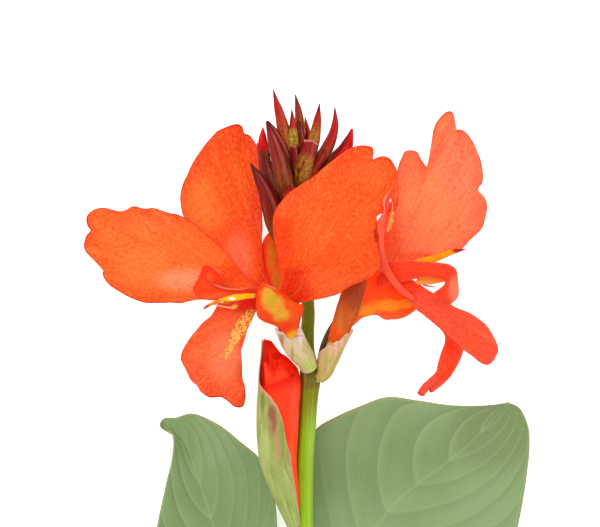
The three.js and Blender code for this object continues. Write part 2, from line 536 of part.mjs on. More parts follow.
const BUD_WRAPS = {
  red_bud_petal_inner: {
    look: 'red', from: 0.3, to: 0.89, radius: [3, 4.9, 5.5, 5.6, 5.2], turn: -20, span: 310,
    rows: 5, across: 18,
    rim: [[-175, 0.8], [-100, 0.86], [-74, 0.887], [-44, 0.872], [-27, 0.834], [-21, 0.834],
      [-11, 0.857], [10, 0.869], [34, 0.831], [50, 0.81], [135, 0.78]],
  },
  red_bud_petal: {
    look: 'red', from: 0.1, to: 1, radius: [2.4, 4.5, 6.2, 6.85, 6.7, 3.2], turn: 92, span: 330,
    rows: 8, across: 14,
    rim: [[-73, 0.748], [-40, 0.767], [-8, 0.785], [38, 0.8], [70, 0.81], [90, 0.822], [119, 0.84],
      [136, 0.87], [164, 0.908], [172, 0.935], [186, 0.962], [199, 0.976], [225, 0.984], [257, 1]],
  },
  red_bud_bract: {
    look: 'bract', from: 0.04, to: 1, radius: [2.9, 5.4, 7.2, 7.9, 7.75, 4.2], turn: -105, span: 282,
    rows: 7, across: 10,
    rim: [[-246, 0.5], [-180, 0.85], [-130, 0.98], [-105, 1], [-92, 0.84], [-75, 0.775], [-57, 0.751],
      [-27, 0.712], [-4, 0.666], [14, 0.58], [20, 0.5], [36, 0.42]],
  },
};

function redBud(clearOf) {
  const coreRadius = rampOf([[0, 0.8], [0.3, 1.6], [0.6, 3], [0.88, 3.4], [1, 1.6]]);
  const before = [...clearOf];
  const core = (grow) => rod(CORE_AXIS, coreRadius, { sides: 8, rows: 12 }, grow);
  piece('red_bud_core', LOOK.red, core, before);
  before.push('red_bud_core');
  for (const [name, { look, ...spec }] of Object.entries(BUD_WRAPS)) {
    piece(name, LOOK[look], wrap({ axis: BUD_AXIS, thick: BUD_THICK, ...spec }), before);
    before.push(name);
  }
}

// ---------------------------------------------------------------- bud head

const HEAD_AXIS = [[-1.8, 82, 27.8], [-1.8, 92, 29], [-1.6, 102, 30], [-1.6, 112, 30.5], [-2.2, 120, 30]];

// Each bud or bract of the head: centre line from its root to its tip, its greatest radius, and how
// blunt it ends.
const BUDS = [
  { line: [[-4.7, 102.7, 29.5], [-6.1, 112.7, 32.5], [-8.3, 122.8, 33.5], [-11.5, 134.6, 33]], r: 2.55 },
  { line: [[-2.9, 109.2, 29.5], [-1.9, 119.3, 29.8], [-2.4, 126.5, 29.6], [-3.5, 133, 29]], r: 1.95 },
  { line: [[-2.9, 105.5, 31], [-3.9, 112.7, 34.3], [-4.2, 119.9, 35.6], [-4.8, 127.5, 35.2]], r: 1.85 },
  { line: [[-2.3, 102.7, 31], [-3, 108, 34.4], [-4.1, 114.1, 36]], r: 2, blunt: 0.8 },
  { line: [[-1.8, 106.3, 31], [-0.9, 113.4, 33.8], [-1.3, 118.5, 34], [-1.9, 123.2, 33.6]], r: 1.6 },
  { line: [[-0.4, 111, 30], [1.2, 117.4, 31.2], [0.7, 121.4, 31.4], [-0.2, 125.3, 31]], r: 1 },
  { line: [[0, 104.8, 31], [2.3, 112.7, 34.3], [3.9, 120.6, 35], [5.3, 129.6, 34.6]], r: 2.25 },
  { line: [[-1.8, 100.1, 32], [-0.2, 106.2, 35.2], [2.4, 115.7, 36.6]], r: 2.95, blunt: 0.93 },
  { line: [[0.4, 102.7, 30], [4.7, 108.8, 31.5], [8.4, 114.2, 31.8], [10.7, 120.7, 31.6], [10.8, 128.6, 31]],
    r: 2.15 },
  { line: [[-0.4, 101.2, 31], [3.2, 106.6, 33.2], [5.8, 110.2, 33.8], [7.4, 113.2, 33.2]],
    r: 2, blunt: 0.3 },
  { line: [[0.4, 100.5, 29], [9, 106.4, 29.2], [14.4, 112.6, 29.5], [16.1, 117, 29.4], [17, 120.5, 29]],
    r: 3.45 },
  { line: [[-6.5, 94.7, 31.5], [-7.7, 102.6, 35.5], [-10.4, 112.6, 36.5], [-13.9, 123.1, 35]], r: 3.35 },
  { line: [[-5.2, 104.1, 31], [-8.2, 113, 34.2], [-10.9, 119.1, 34.6], [-13.6, 123.1, 34]],
    r: 2.35, blunt: 0.2 },
  { line: [[-8, 94.4, 28.5], [-11.8, 100.6, 28.3], [-14.6, 108.1, 28.5], [-15.8, 115.4, 28.6]],
    r: 2.9, blunt: 0.62 },
  { line: [[-13.6, 107.6, 28.6], [-15.1, 114, 29.4], [-15.2, 121.2, 29.2]], r: 2.05 },
  { line: [[-4.9, 92.6, 33], [-4.9, 96.6, 36], [-4.7, 100.3, 36.4]], r: 2.9 },
  { line: [[-8.5, 79, 28.5], [-11.1, 85.5, 30], [-12.3, 91.8, 32], [-14.2, 97.5, 33], [-16.7, 102.6, 33],
    [-19.7, 108, 32]], r: 3.4 },
  { line: [[-2, 89, 28], [-5, 84.6, 28.3], [-9.3, 81.6, 29]], r: 1.8, blunt: 0.9 },
  { line: [[-0.5, 97, 28], [3.4, 103, 24.5], [4.8, 108, 23.5], [5.6, 112, 23]], r: 2.4 },
  { line: [[-3, 99, 28], [-7.4, 107, 24.5], [-9.2, 113, 23.5], [-10.8, 118, 23]], r: 2.4 },
  { line: [[-1.5, 101, 28], [-1, 109, 25], [-0.4, 115, 24], [0.2, 121, 24]], r: 2.1 },
  { line: [[-1.5, 88, 28], [3, 94, 26], [6, 100, 25], [8.6, 106, 25]], r: 2.5 },
];

function budHead(clearOf) {
  const build = (grow) => {
    let head = rod(HEAD_AXIS, blendOf([2, 2.4, 2.8, 2.2, 0.8]), { sides: 8, rows: 7 }, grow);
    for (const { line, r, blunt = 0.08 } of BUDS) {
      const shape = [[0, 0.6], [0.3, 0.95], [0.5, 1], [0.78, Math.max(0.62, blunt)], [1, blunt]];
      const radius = rampOf(shape.map(([at, share]) => [at, share * r]));
      head = head.add(rod(line, radius, { sides: 6, rows: 4 }, grow));
    }
    return head;
  };
  piece('bud_cluster', LOOK.maroon, build, clearOf);
}

// ---------------------------------------------------------------- the whole shoot

stem();
leaf('leaf_right', ['stem']);
leaf('leaf_left', ['stem', 'leaf_right']);
leftFlower();
rightFlower();
redBud(['stem', 'left_tube', 'left_bract', 'left_petal_front']);
budHead(['stem']);
plant.position.set(-BOX_MIDDLE[0], -BOX_MIDDLE[1], 0);

export default plant;
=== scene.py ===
# Canna lily: the looks of one cut flowering shoot that lies on its back on a pale surface.
# Metres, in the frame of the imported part: +Y runs from the cut end to the buds, +Z points up.
# Outlines are written in millimetres, with the stem on x = 0, and moved with the whole shoot by SHIFT.

import math
import bpy
import numpy as np
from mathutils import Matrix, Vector


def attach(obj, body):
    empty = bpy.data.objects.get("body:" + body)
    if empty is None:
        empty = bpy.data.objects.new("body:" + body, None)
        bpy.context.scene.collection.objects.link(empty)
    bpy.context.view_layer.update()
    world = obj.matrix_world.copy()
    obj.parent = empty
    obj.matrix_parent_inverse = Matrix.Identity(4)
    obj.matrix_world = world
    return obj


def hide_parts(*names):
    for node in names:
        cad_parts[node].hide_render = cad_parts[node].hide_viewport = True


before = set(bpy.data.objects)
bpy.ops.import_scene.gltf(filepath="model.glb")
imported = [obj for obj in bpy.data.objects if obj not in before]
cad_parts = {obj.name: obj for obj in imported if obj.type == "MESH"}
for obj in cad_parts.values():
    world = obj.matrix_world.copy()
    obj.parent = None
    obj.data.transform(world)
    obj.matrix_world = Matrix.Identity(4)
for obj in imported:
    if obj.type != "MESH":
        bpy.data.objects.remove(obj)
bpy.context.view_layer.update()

MM = 0.001
LOWEST = 0.02                           # nothing reaches lower, mm above the surface
SHIFT = np.array([-1.31, 11.35, 0.0])   # from the drawn place to the finished part, mm
LEAST_LIFT = 0.2                        # the least height of a petal's middle surface, mm
LEAST_LEAF_LIFT = 0.5
PETAL_THICK = 0.6
BRACT_THICK = 0.7
BUD_THICK = 0.6
LEAF_THICK = 0.8
SHEATH_THICK = 1.0
STEM_R = 3.3
NODE_R = 4.0
RACHIS_R = 2.3
FULL_TURN = 2 * math.pi

STALK = [(0, -157, 5.8), (-0.3, -100, 9), (-0.3, -50, 13), (-0.2, 0, 18.2), (0.7, 13, 20.2),
         (1.3, 24, 21.6), (1.8, 31, 22.6), (0.9, 40, 23.4), (0.9, 48, 24), (1.2, 54, 24.6), (0.6, 62, 25.5),
         (-0.8, 74, 26.8), (-1.8, 83, 27.8)]


# ------------------------------------------------------------------ curves

def cubic(u, here, leave, there, arrive):
    """A cubic stretch from here to there with the slopes leave and arrive."""
    return ((2 * u**3 - 3 * u**2 + 1) * here + (u**3 - 2 * u**2 + u) * leave
            + (3 * u**2 - 2 * u**3) * there + (u**3 - u**2) * arrive)


def route(points):
    """A smooth route through points; returns place(t) for an array of shares of its length."""
    p = np.array([(*q, 0)[:3] for q in points], float)
    p = np.vstack([2 * p[0] - p[1], p, 2 * p[-1] - p[-2]])
    u = np.linspace(0, 1, 20, endpoint=False)[:, None]
    parts = []
    for a, b, c, d in zip(p, p[1:], p[2:], p[3:]):
        ta, tb, tc = (max(np.linalg.norm(k), 1e-6) ** 0.5 for k in (b - a, c - b, d - c))
        leave = tb * ((b - a) / ta - (c - a) / (ta + tb) + (c - b) / tb)
        arrive = tb * ((c - b) / tb - (d - b) / (tb + tc) + (d - c) / tc)
        parts.append(cubic(u, b, leave, c, arrive))
    dense = np.vstack(parts + [p[-2:-1]])
    run = np.concatenate([[0], np.cumsum(np.linalg.norm(np.diff(dense, axis=0), axis=1))])
    run /= run[-1]
    return lambda t: np.stack([np.interp(t, run, dense[:, k]) for k in range(3)], axis=-1)


def blend_of(values):
    """A smooth number through evenly spaced values."""
    v = np.array(values, float)
    if len(v) == 1:
        return lambda t: np.full_like(t, v[0], dtype=float)
    slope = np.gradient(v)

    def at(t):
        x = np.clip(t, 0, 1) * (len(v) - 1)
        i = np.minimum(x.astype(int), len(v) - 2)
        return cubic(x - i, v[i], slope[i], v[i + 1], slope[i + 1])
    return at


def ramp_of(knots):
    """Straight stretches between (position, value) knots, rounded a little."""
    at, value = zip(*knots)
    fine = np.linspace(at[0], at[-1], 401)
    line = np.interp(fine, at, value)
    soft = np.convolve(np.pad(line, 6, mode="edge"), np.ones(13) / 13, mode="valid")
    soft[0], soft[-1] = line[0], line[-1]
    return lambda t: np.interp(t, fine, soft)


def frames_along(place, t):
    """Side and up directions across a route, up being the one nearest +Z."""
    step = 0.01
    ahead = place(np.minimum(t + step, 1)) - place(np.maximum(t - step, 0))
    ahead /= np.linalg.norm(ahead, axis=-1, keepdims=True)
    side = np.cross(ahead, [0, 0, 1])
    side /= np.linalg.norm(side, axis=-1, keepdims=True)
    return side, np.cross(side, ahead)


# ------------------------------------------------------------------ meshes

def net(rows, cols):
    """Two grids: share of the length, 0 to 1, and place across, -1 to 1."""
    return np.meshgrid(np.linspace(0, 1, rows), np.linspace(-1, 1, cols), indexing="ij")


def triples(*three):
    """One vector per point from three grids or numbers."""
    return np.stack(np.broadcast_arrays(*three), axis=-1).astype(float).reshape(-1, 3)


def add_to_scene(name, data, place=(0, 0, 0)):
    """An object of its own for a mesh, lamp or camera."""
    item = bpy.data.objects.new(name, data)
    item.location = place
    bpy.context.scene.collection.objects.link(item)
    return item


def make_object(name, points, faces, fields, material, node):
    """One piece: points in drawn millimetres; fields are the per-point vectors its material reads."""
    used = np.unique(np.concatenate([np.array(f) for f in faces]))
    new = np.full(len(points), -1)
    new[used] = np.arange(len(used))
    points = points[used]
    points[:, 2] = np.maximum(points[:, 2], LOWEST)
    mesh = bpy.data.meshes.new(name)
    mesh.from_pydata(((points + SHIFT) * MM).tolist(), [], [new[f].tolist() for f in faces])
    for key, values in fields.items():
        layer = mesh.attributes.new(key, "FLOAT_VECTOR", "POINT")
        layer.data.foreach_set("vector", np.asarray(values, np.float32)[used].ravel())
    mesh.polygons.foreach_set("use_smooth", [True] * len(mesh.polygons))
    mesh.materials.append(material)
    mesh.update()
    piece = add_to_scene(name, mesh)
    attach(piece, "root")
    if node:
        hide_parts(node)


def normals_of(grid):
    """Directions square to a grid of surface points; at a closed tip, the mean of the row before it."""
    n = np.cross(np.gradient(grid, axis=1), np.gradient(grid, axis=0))
    n = n / np.maximum(np.linalg.norm(n, axis=-1, keepdims=True), 1e-12)
    if np.linalg.norm(grid[-1] - grid[-1, :1]) < 1e-6:
        n[-1] = n[-2].mean(axis=0)
    return n


def slab(grid, thick, closed_tip=True):
    """Points and faces of a thin closed body over a grid of surface points (rows, across, 3)."""
    rows, cols = grid.shape[:2]
    half = normals_of(grid) * np.broadcast_to(thick, grid.shape[:2])[..., None] / 2
    points = np.concatenate([(grid + half).reshape(-1, 3), (grid - half).reshape(-1, 3)])
    at = np.arange(rows * cols * 2).reshape(2, rows, cols)
    if closed_tip:
        at[:, -1, :] = at[:, -1, :1]
    top, low = at
    faces = []
    for corners in (
            (top[:-1, :-1], top[:-1, 1:], top[1:, 1:], top[1:, :-1]),
            (low[:-1, :-1], low[1:, :-1], low[1:, 1:], low[:-1, 1:]),
            (top[:-1, 0], top[1:, 0], low[1:, 0], low[:-1, 0]),
            (top[1:, -1], top[:-1, -1], low[:-1, -1], low[1:, -1]),
            (top[0, 1:], top[0, :-1], low[0, :-1], low[0, 1:]),
            (top[-1, :-1], top[-1, 1:], low[-1, 1:], low[-1, :-1])):
        for quad in zip(*(c.ravel().tolist() for c in corners)):
            unique = list(dict.fromkeys(quad))
            if len(unique) > 2:
                faces.append(unique)
    return points, faces


def slab_piece(name, grid, thick, fields, material, node, closed_tip=True):
    """A thin body as a piece; fields has a vector for every point of the grid."""
    points, faces = slab(grid, thick, closed_tip)
    both_sides = {key: np.tile(vectors, (2, 1)) for key, vectors in fields.items()}
    make_object(name, points, faces, both_sides, material, node)


def rod_grid(points, radius, sides, rows):
    """Grid of points round a path; radius(t, a) takes arrays."""
    place = route(points)
    t = np.linspace(0, 1, rows)
    side, up = frames_along(place, t)
    a = np.linspace(0, FULL_TURN, sides, endpoint=False)
    r = radius(t[:, None], a[None, :])[..., None]
    ring = side[:, None] * np.sin(a)[None, :, None] + up[:, None] * np.cos(a)[None, :, None]
    return place(t)[:, None] + ring * r, t, a


def rod_faces(rows, sides, first=0):
    """Faces round a rod and over its two ends; first is the number of its first point."""
    at = first + np.arange(rows * sides).reshape(rows, sides)
    after = np.roll(at, -1, axis=1)
    around = np.stack([at[:-1], after[:-1], after[1:], at[1:]], axis=-1).reshape(-1, 4).tolist()
    return around + [at[0, ::-1].tolist(), at[-1].tolist()]


def rod(name, points, radius, material, node, sides=24, rows=60):
    grid, t, a = rod_grid(points, radius, sides, rows)
    fields = {"blade": triples(a[None, :] / FULL_TURN, t[:, None], 0)}
    make_object(name, grid.reshape(-1, 3), rod_faces(rows, sides), fields, material, node)


# ------------------------------------------------------------------ materials

LIGHT_LEVEL = 1.30           # how much light falls on the shoot; colours are given as they look under it
GLOSS = 0.01                 # what surface gloss adds to every colour
GLOW = (1, 0.03, 0.005, 1)   # red light that comes through thin petals where they shade each other
PETAL_GLOW = 0.07


def srgb(r, g, b, lift=1.0):
    """Linear colour of a surface that looks like the given 0 to 255 values in this light."""
    part = [v / 255 for v in (r, g, b)]
    linear = [v / 12.92 if v <= 0.04045 else ((v + 0.055) / 1.055) ** 2.4 for v in part]
    # lift brightens the colour of a piece that lies in shade: painted light
    return [max(v - GLOSS, 0.1 * v) / LIGHT_LEVEL * lift for v in linear] + [1.0]


def shade(rgb, factor):
    """A colour made lighter or darker, in the usual 0 to 255 values, as a linear colour."""
    return srgb(*(min(255, v * factor) for v in rgb))


class Shader:
    """A Principled material and short helpers for its nodes."""

    def __init__(self, name, roughness, **sockets):
        self.material = bpy.data.materials.new(name)
        self.material.use_nodes = True
        self.nodes = self.material.node_tree.nodes
        self.bsdf = self.nodes["Principled BSDF"]
        for key, value in {"Roughness": roughness, **sockets}.items():
            self.bsdf.inputs[key.replace("_", " ")].default_value = value

    def link(self, out, into):
        self.material.node_tree.links.new(out, into)

    def fill(self, socket, value):
        """Links an output to a socket, or sets the socket to a value."""
        if isinstance(value, bpy.types.NodeSocket):
            self.link(value, socket)
        else:
            socket.default_value = value

    def node(self, kind, settings=(), **inputs):
        node = self.nodes.new("ShaderNode" + kind)
        for key, value in dict(settings).items():
            setattr(node, key, value)
        for key, value in inputs.items():
            self.fill(node.inputs[key.replace("_", " ")], value)
        return node

    def field(self, name):
        vector = self.node("Attribute", {"attribute_name": name}).outputs["Vector"]
        return vector, self.parts(vector)

    def parts(self, vector):
        return self.node("SeparateXYZ", Vector=vector).outputs

    def place(self):
        return self.node("TexCoord").outputs["Object"]

    def scaled(self, vector, scale):
        return self.node("Mapping", Vector=vector, Scale=scale).outputs[0]

    def noise(self, vector, scale, detail=3.0, rough=0.55):
        """Noise over a vector; scale is one number, or three that stretch the vector first."""
        if isinstance(scale, tuple):
            vector, scale = self.scaled(vector, scale), 1.0
        node = self.node("TexNoise", Vector=vector, Scale=scale, Detail=detail, Roughness=rough)
        return node.outputs["Fac"]

    def cells(self, vector, scale, feature):
        return self.node("TexVoronoi", {"feature": feature}, Vector=vector, Scale=scale).outputs["Distance"]

    def stirred(self, vector, scale, amount):
        """The same coordinates, pushed about by a coloured noise."""
        noise = self.node("TexNoise", Vector=vector, Scale=scale)
        push = self.node("VectorMath", {"operation": "MULTIPLY_ADD"})
        for socket, value in zip(push.inputs, (noise.outputs["Color"], (amount,) * 3, vector)):
            self.fill(socket, value)
        return push.outputs[0]

    def math(self, op, a, b=0.0):
        node = self.node("Math", {"operation": op})
        self.fill(node.inputs[0], a)
        self.fill(node.inputs[1], b)
        return node.outputs[0]

    def times(self, a, b):
        return self.math("MULTIPLY", a, b)

    def plus(self, a, b):
        return self.math("ADD", a, b)

    def less(self, a, b):
        return self.math("SUBTRACT", a, b)

    def most(self, a, b):
        return self.math("MAXIMUM", a, b)

    def size(self, a):
        return self.math("ABSOLUTE", a)

    def rise(self, value, low, high, to_low=0.0, to_high=1.0):
        node = self.node("MapRange", {"interpolation_type": "SMOOTHSTEP"}, Value=value, From_Min=low,
                         From_Max=high, To_Min=to_low, To_Max=to_high)
        return node.outputs["Result"]

    def mix(self, share, a, b):
        node = self.node("Mix", {"data_type": "RGBA"}, Factor=share)
        self.fill(node.inputs[6], a)
        self.fill(node.inputs[7], b)
        return node.outputs[2]

    def layers(self, colour, rows):
        """Colours laid over each other. A row is a share and a colour, or a field, the two values of it
        between which the colour comes in, its greatest share and the colour."""
        for *how, tint in rows:
            share = how[0] if len(how) == 1 else self.rise(*how[:3], 0, how[3])
            colour = self.mix(share, colour, srgb(*tint) if len(tint) == 3 else tint)
        return colour

    def done(self, colour, *reliefs, strength=0.4, distance=0.2):
        """Joins colour and relief; reliefs are (height, weight), distance in mm."""
        height = None
        for field, weight in reliefs:
            part = self.times(field, weight)
            height = part if height is None else self.plus(height, part)
        if height is not None:
            bump = self.node("Bump", Strength=strength, Distance=distance * MM, Height=height)
            self.link(bump.outputs[0], self.bsdf.inputs["Normal"])
        self.link(colour, self.bsdf.inputs["Base Color"])
        return self.material


# ------------------------------------------------------------------ materials of the shoot

def spot_in(sh, place, middle, radius, ragged, amount=0.9):
    """How close a point is to a spot on the shoot, 1 at its middle; middle and radius are (x, y) in mm."""
    xyz = sh.parts(place)
    squares = []
    for axis in (0, 1):
        centre = float((middle[axis] + SHIFT[axis]) * MM)
        off = sh.times(sh.less(xyz[axis], centre), 1 / (radius[axis] * MM))
        squares.append(sh.times(off, off))
    away = sh.plus(sh.math("SQRT", sh.plus(*squares)), sh.times(sh.less(ragged, 0.5), amount))
    return sh.rise(away, 0.35, 1.0, 1, 0)


def spotted(sh, colour, place, spots, ragged, amount=0.9, lift=1.0):
    """Patches over a colour; a spot is its middle, radius, colour and strength."""
    for middle, radius, tint, strength in spots:
        near = sh.times(spot_in(sh, place, middle, radius, ragged, amount), strength)
        colour = sh.mix(near, colour, srgb(*tint, lift))
    return colour


def petal(body, rim, spots=(), marks=None, line=(190, 34, 20), roughness=0.5, grain=1.0, lift=1.0):
    """Petal tissue: fine streaks that fan out from the base, rows of cells, a thin darker rim line.
    lift brightens the colours of petals that lie in shade: painted light."""
    sh = Shader("petal", roughness, Subsurface_Weight=0.1, Subsurface_Scale=0.5 * MM,
                Subsurface_Radius=(1.0, 0.3, 0.12), Specular_IOR_Level=0.08, Emission_Color=GLOW,
                Emission_Strength=PETAL_GLOW)
    _, (s, t, _) = sh.field("blade")
    fan, _ = sh.field("grain")
    place = sh.place()
    streak = sh.noise(fan, (26, 1.3, 1), 4, 0.6)
    thread = sh.noise(fan, (95, 3.0, 1), 2, 0.6)
    row = sh.noise(fan, (72, 19, 1), 2.5, 0.6)
    cell = sh.noise(place, 820, 3, 0.65)
    cloud = sh.noise(place, 70, 3, 0.6)
    off_axis = sh.size(s)
    near_rim = sh.most(sh.rise(off_axis, 0.55, 1.0), sh.rise(t, 0.82, 1.0))
    colour = sh.mix(sh.times(near_rim, 0.7), srgb(*body, lift), srgb(*rim, lift))
    colour = spotted(sh, colour, place, spots, streak, lift=lift)
    if marks:
        colour = marks(sh, colour, place)
    light, dark = srgb(254, 166, 84, lift), srgb(216, 34, 4, lift)
    for field, low, mid, high, up, down in (
            (cloud, 0.25, 0.5, 0.75, 0.10, 0.12), (streak, 0.26, 0.5, 0.74, 0.22, 0.3),
            (thread, 0.3, 0.48, 0.7, 0.0, 0.25), (row, 0.3, 0.5, 0.7, 0.24, 0.36),
            (cell, 0.3, 0.5, 0.72, 0.12, 0.14)):
        colour = sh.layers(colour, [(field, mid, high, up * grain, light),
                                    (field, mid, low, down * grain, dark)])
    thin = sh.most(sh.rise(off_axis, 0.965, 0.992), sh.rise(t, 0.982, 0.996))
    colour = sh.mix(sh.times(thin, 0.8), colour, srgb(*line))
    return sh.done(colour, (streak, 1.2), (row, 0.6), (cell, 0.25))


def lip_marks(sh, colour, place):
    """The netted yellow lace along the inner side of the left lip: bright loops round red-brown gaps."""
    wobble = sh.noise(place, 900, 2)
    stirred = sh.stirred(sh.scaled(place, (1.0, 0.6, 1.0)), 700, 0.0012)
    gap, dot = (sh.cells(stirred, 820, feature) for feature in ("DISTANCE_TO_EDGE", "F1"))
    for middle, radius in (((-18.4, 55), (3.2, 2)), ((-20.6, 52.2), (2.9, 2.9)),
                           ((-22.9, 48.8), (2.6, 3.4)), ((-25, 45.4), (2, 3.4)),
                           ((-26.7, 42.2), (1.5, 3)), ((-28.1, 39.2), (1, 2.6))):
        near = spot_in(sh, place, middle, radius, wobble)
        loops = sh.times(sh.rise(near, 0.05, 0.4), sh.rise(gap, 0.2, 0.08))
        dots = sh.times(sh.rise(near, 0.2, 0.6), sh.rise(dot, 0.26, 0.14, 0, 0.65))
        colour = sh.layers(colour, [(sh.times(near, 0.6), (250, 138, 60)), (loops, (255, 206, 104)),
                                    (dots, (170, 50, 16))])
    return colour


def speckled(red, yellow, patches, amount, middle=()):
    """Olive-yellow speckled patches of a true petal over its red; middle is a list of plain spots."""
    def marks(sh, colour, place):
        fleck = sh.noise(place, 700, 4, 0.75)
        broad = sh.noise(place, 190)
        for centre, radius in patches:
            near = spot_in(sh, place, centre, radius, broad)
            colour = sh.layers(colour, [
                (sh.times(near, 0.95), yellow), (sh.times(near, sh.rise(fleck, 0.5, 0.64, 0, amount)), red),
                (sh.times(near, sh.rise(fleck, 0.42, 0.28, 0, 0.5)), shade(yellow, 1.18))])
        return spotted(sh, colour, place, middle, fleck)
    return marks


def tissue(name, base, tip, vein, edge=None, blotches=(), roughness=0.5, around=26, mottle=None, ragged=0.9,
           lift=1.0, glow=0.0, edge_from=(0.86, 0.9)):
    """Bract, tube and bud skin: lengthwise veins, a change from base to tip, blotches, a paler edge.
    around is how many streaks lie across it, mottle three colours of fine patches, ragged how uneven the
    blotches are, edge_from where the edge begins, across and along it."""
    # lift brightens the colours of a piece that lies in shade: painted light
    sh = Shader(name, roughness, Subsurface_Weight=0.08, Subsurface_Scale=0.6 * MM, Specular_IOR_Level=0.1,
                Emission_Color=GLOW, Emission_Strength=glow)
    blade, (a, t, _) = sh.field("blade")
    place = sh.place()
    streak = sh.noise(blade, (around, 1.3, 1), 4, 0.6)
    fine = sh.noise(blade, (around * 3.4, 5, 1), 3, 0.6)
    cell = sh.noise(place, 1300, 3, 0.7)
    cloud = sh.noise(place, 240)
    along = sh.plus(t, sh.times(sh.less(cloud, 0.5), 0.5))
    colour = sh.mix(sh.rise(along, 0.1, 0.9), srgb(*base, lift), srgb(*tip, lift))
    colour = sh.layers(colour, [(streak, 0.52, 0.7, 0.55, srgb(*vein, lift)),
                                (fine, 0.5, 0.32, 0.3, shade(base, 1.12))])
    if mottle:
        patchy = sh.noise(blade, (around * 0.9, 3.2, 1), 4, 0.65)
        hair = sh.noise(blade, (around * 3, 1.1, 1), 2, 0.5)
        pale, green, brown = mottle
        colour = sh.layers(colour, [(patchy, 0.5, 0.62, 0.7, pale), (patchy, 0.46, 0.36, 0.6, green),
                                    (hair, 0.58, 0.7, 0.6, brown)])
    colour = spotted(sh, colour, place, blotches, streak, ragged, lift)
    colour = sh.layers(colour, [(cell, 0.56, 0.75, 0.2, shade(tip, 1.15))])
    if edge:
        rim = sh.most(sh.rise(sh.size(a), edge_from[0], 0.99), sh.rise(t, edge_from[1], 0.99))
        colour = sh.mix(sh.times(rim, 0.85), colour, srgb(*edge))
    return sh.done(colour, (streak, 1.4), (fine, 0.6))


def stem_material():
    """Stalk: fresh green below the ring, brown and olive at it, with lengthwise ribs and painted light and
    shade.
    """
    sh = Shader("stalk", 0.45, Subsurface_Weight=0.06, Subsurface_Scale=0.8 * MM, Specular_IOR_Level=0.14)
    blade, _ = sh.field("blade")
    place = sh.place()
    ribs = sh.noise(blade, (26, 2.2, 1), 3, 0.6)
    pores = sh.noise(place, 1100, 3, 0.7)
    cloud = sh.noise(place, 160)
    xyz = sh.parts(place)
    x, y = (sh.math("DIVIDE", sh.plus(xyz[axis], -float(SHIFT[axis]) * MM), MM) for axis in (0, 1))
    # Paler towards the stalk's right side and darker towards its left (this mix and the first row below):
    # painted light and shade across the round stalk. The olive above the ring (from y 33.5) is its own tint
    # darkened by painted shade.
    colour = sh.mix(sh.rise(x, -1.0, 3.4), srgb(148, 192, 12), srgb(174, 214, 82))
    colour = sh.layers(colour, [
        (x, -1.6, -3.4, 0.8, (138, 176, 18)), (y, 7, 25, 1, (136, 136, 24)),
        (sh.plus(y, sh.times(cloud, 4)), 27, 30, 0.9, (122, 92, 46)), (y, 33.5, 36.5, 1, (118, 132, 6)),
        (ribs, 0.5, 0.7, 0.4, (168, 196, 60)), (ribs, 0.5, 0.3, 0.4, (112, 136, 8)),
        (cloud, 0.55, 0.72, 0.12, (140, 120, 40)), (pores, 0.56, 0.72, 0.25, (192, 206, 100))])
    return sh.done(colour, (ribs, 1), (pores, 0.3))


def leaf_material():
    """Sage-green blade with side veins, finer veins between them, a brownish rim and a soft bloom."""
    sh = Shader("leaf blade", 0.62, Subsurface_Weight=0.06, Subsurface_Scale=0.8 * MM, Sheen_Weight=0.1,
                Specular_IOR_Level=0.25)
    _, (s, t, _) = sh.field("blade")
    _, (main, small, _) = sh.field("grain")
    place = sh.place()
    cloud = sh.noise(place, 24)
    fine = sh.noise(place, 1300, 4, 0.7)
    off_axis = sh.size(s)
    colour = sh.mix(sh.rise(cloud, 0.3, 0.7), srgb(126, 152, 94), srgb(144, 170, 116))
    # the brown spot at (-52.4, 12.4) is painted shade in the left leaf's curled tip
    colour = spotted(sh, colour, place, [
        ((70, 8), (22, 20), (124, 144, 90), 0.8), ((-44, 8), (10, 14), (130, 160, 96), 0.8),
        ((68, 20), (9, 2.4), (132, 138, 112), 0.8), ((-52.4, 12.4), (2.2, 3), (124, 112, 66), 0.8)], cloud)
    side, thread = sh.math("FRACT", main), sh.math("FRACT", small)
    band, hair = (sh.size(sh.less(between, 0.5)) for between in (side, thread))
    rim = sh.most(sh.rise(off_axis, 0.95, 0.985), sh.rise(t, 0.985, 0.997))
    colour = sh.layers(colour, [
        (side, 0.45, 0.9, 0.45, (122, 148, 96)), (side, 0.3, 0.0, 0.4, (152, 178, 124)),
        (band, 0.46, 0.5, 0.38, (160, 184, 134)), (hair, 0.3, 0.5, 0.14, (120, 150, 90)),
        (off_axis, 0.03, 0.0, 0.35, (160, 182, 128)), (fine, 0.5, 0.7, 0.2, (166, 188, 144)),
        (sh.times(rim, 0.45), (176, 182, 130)), (off_axis, 0.988, 0.998, 0.2, (150, 140, 96))])
    return sh.done(colour, (sh.rise(band, 0.36, 0.5, 1, 0), 1), (sh.rise(hair, 0.2, 0.5, 1, 0), 0.3),
                   (fine, 0.4), strength=0.35, distance=0.3)


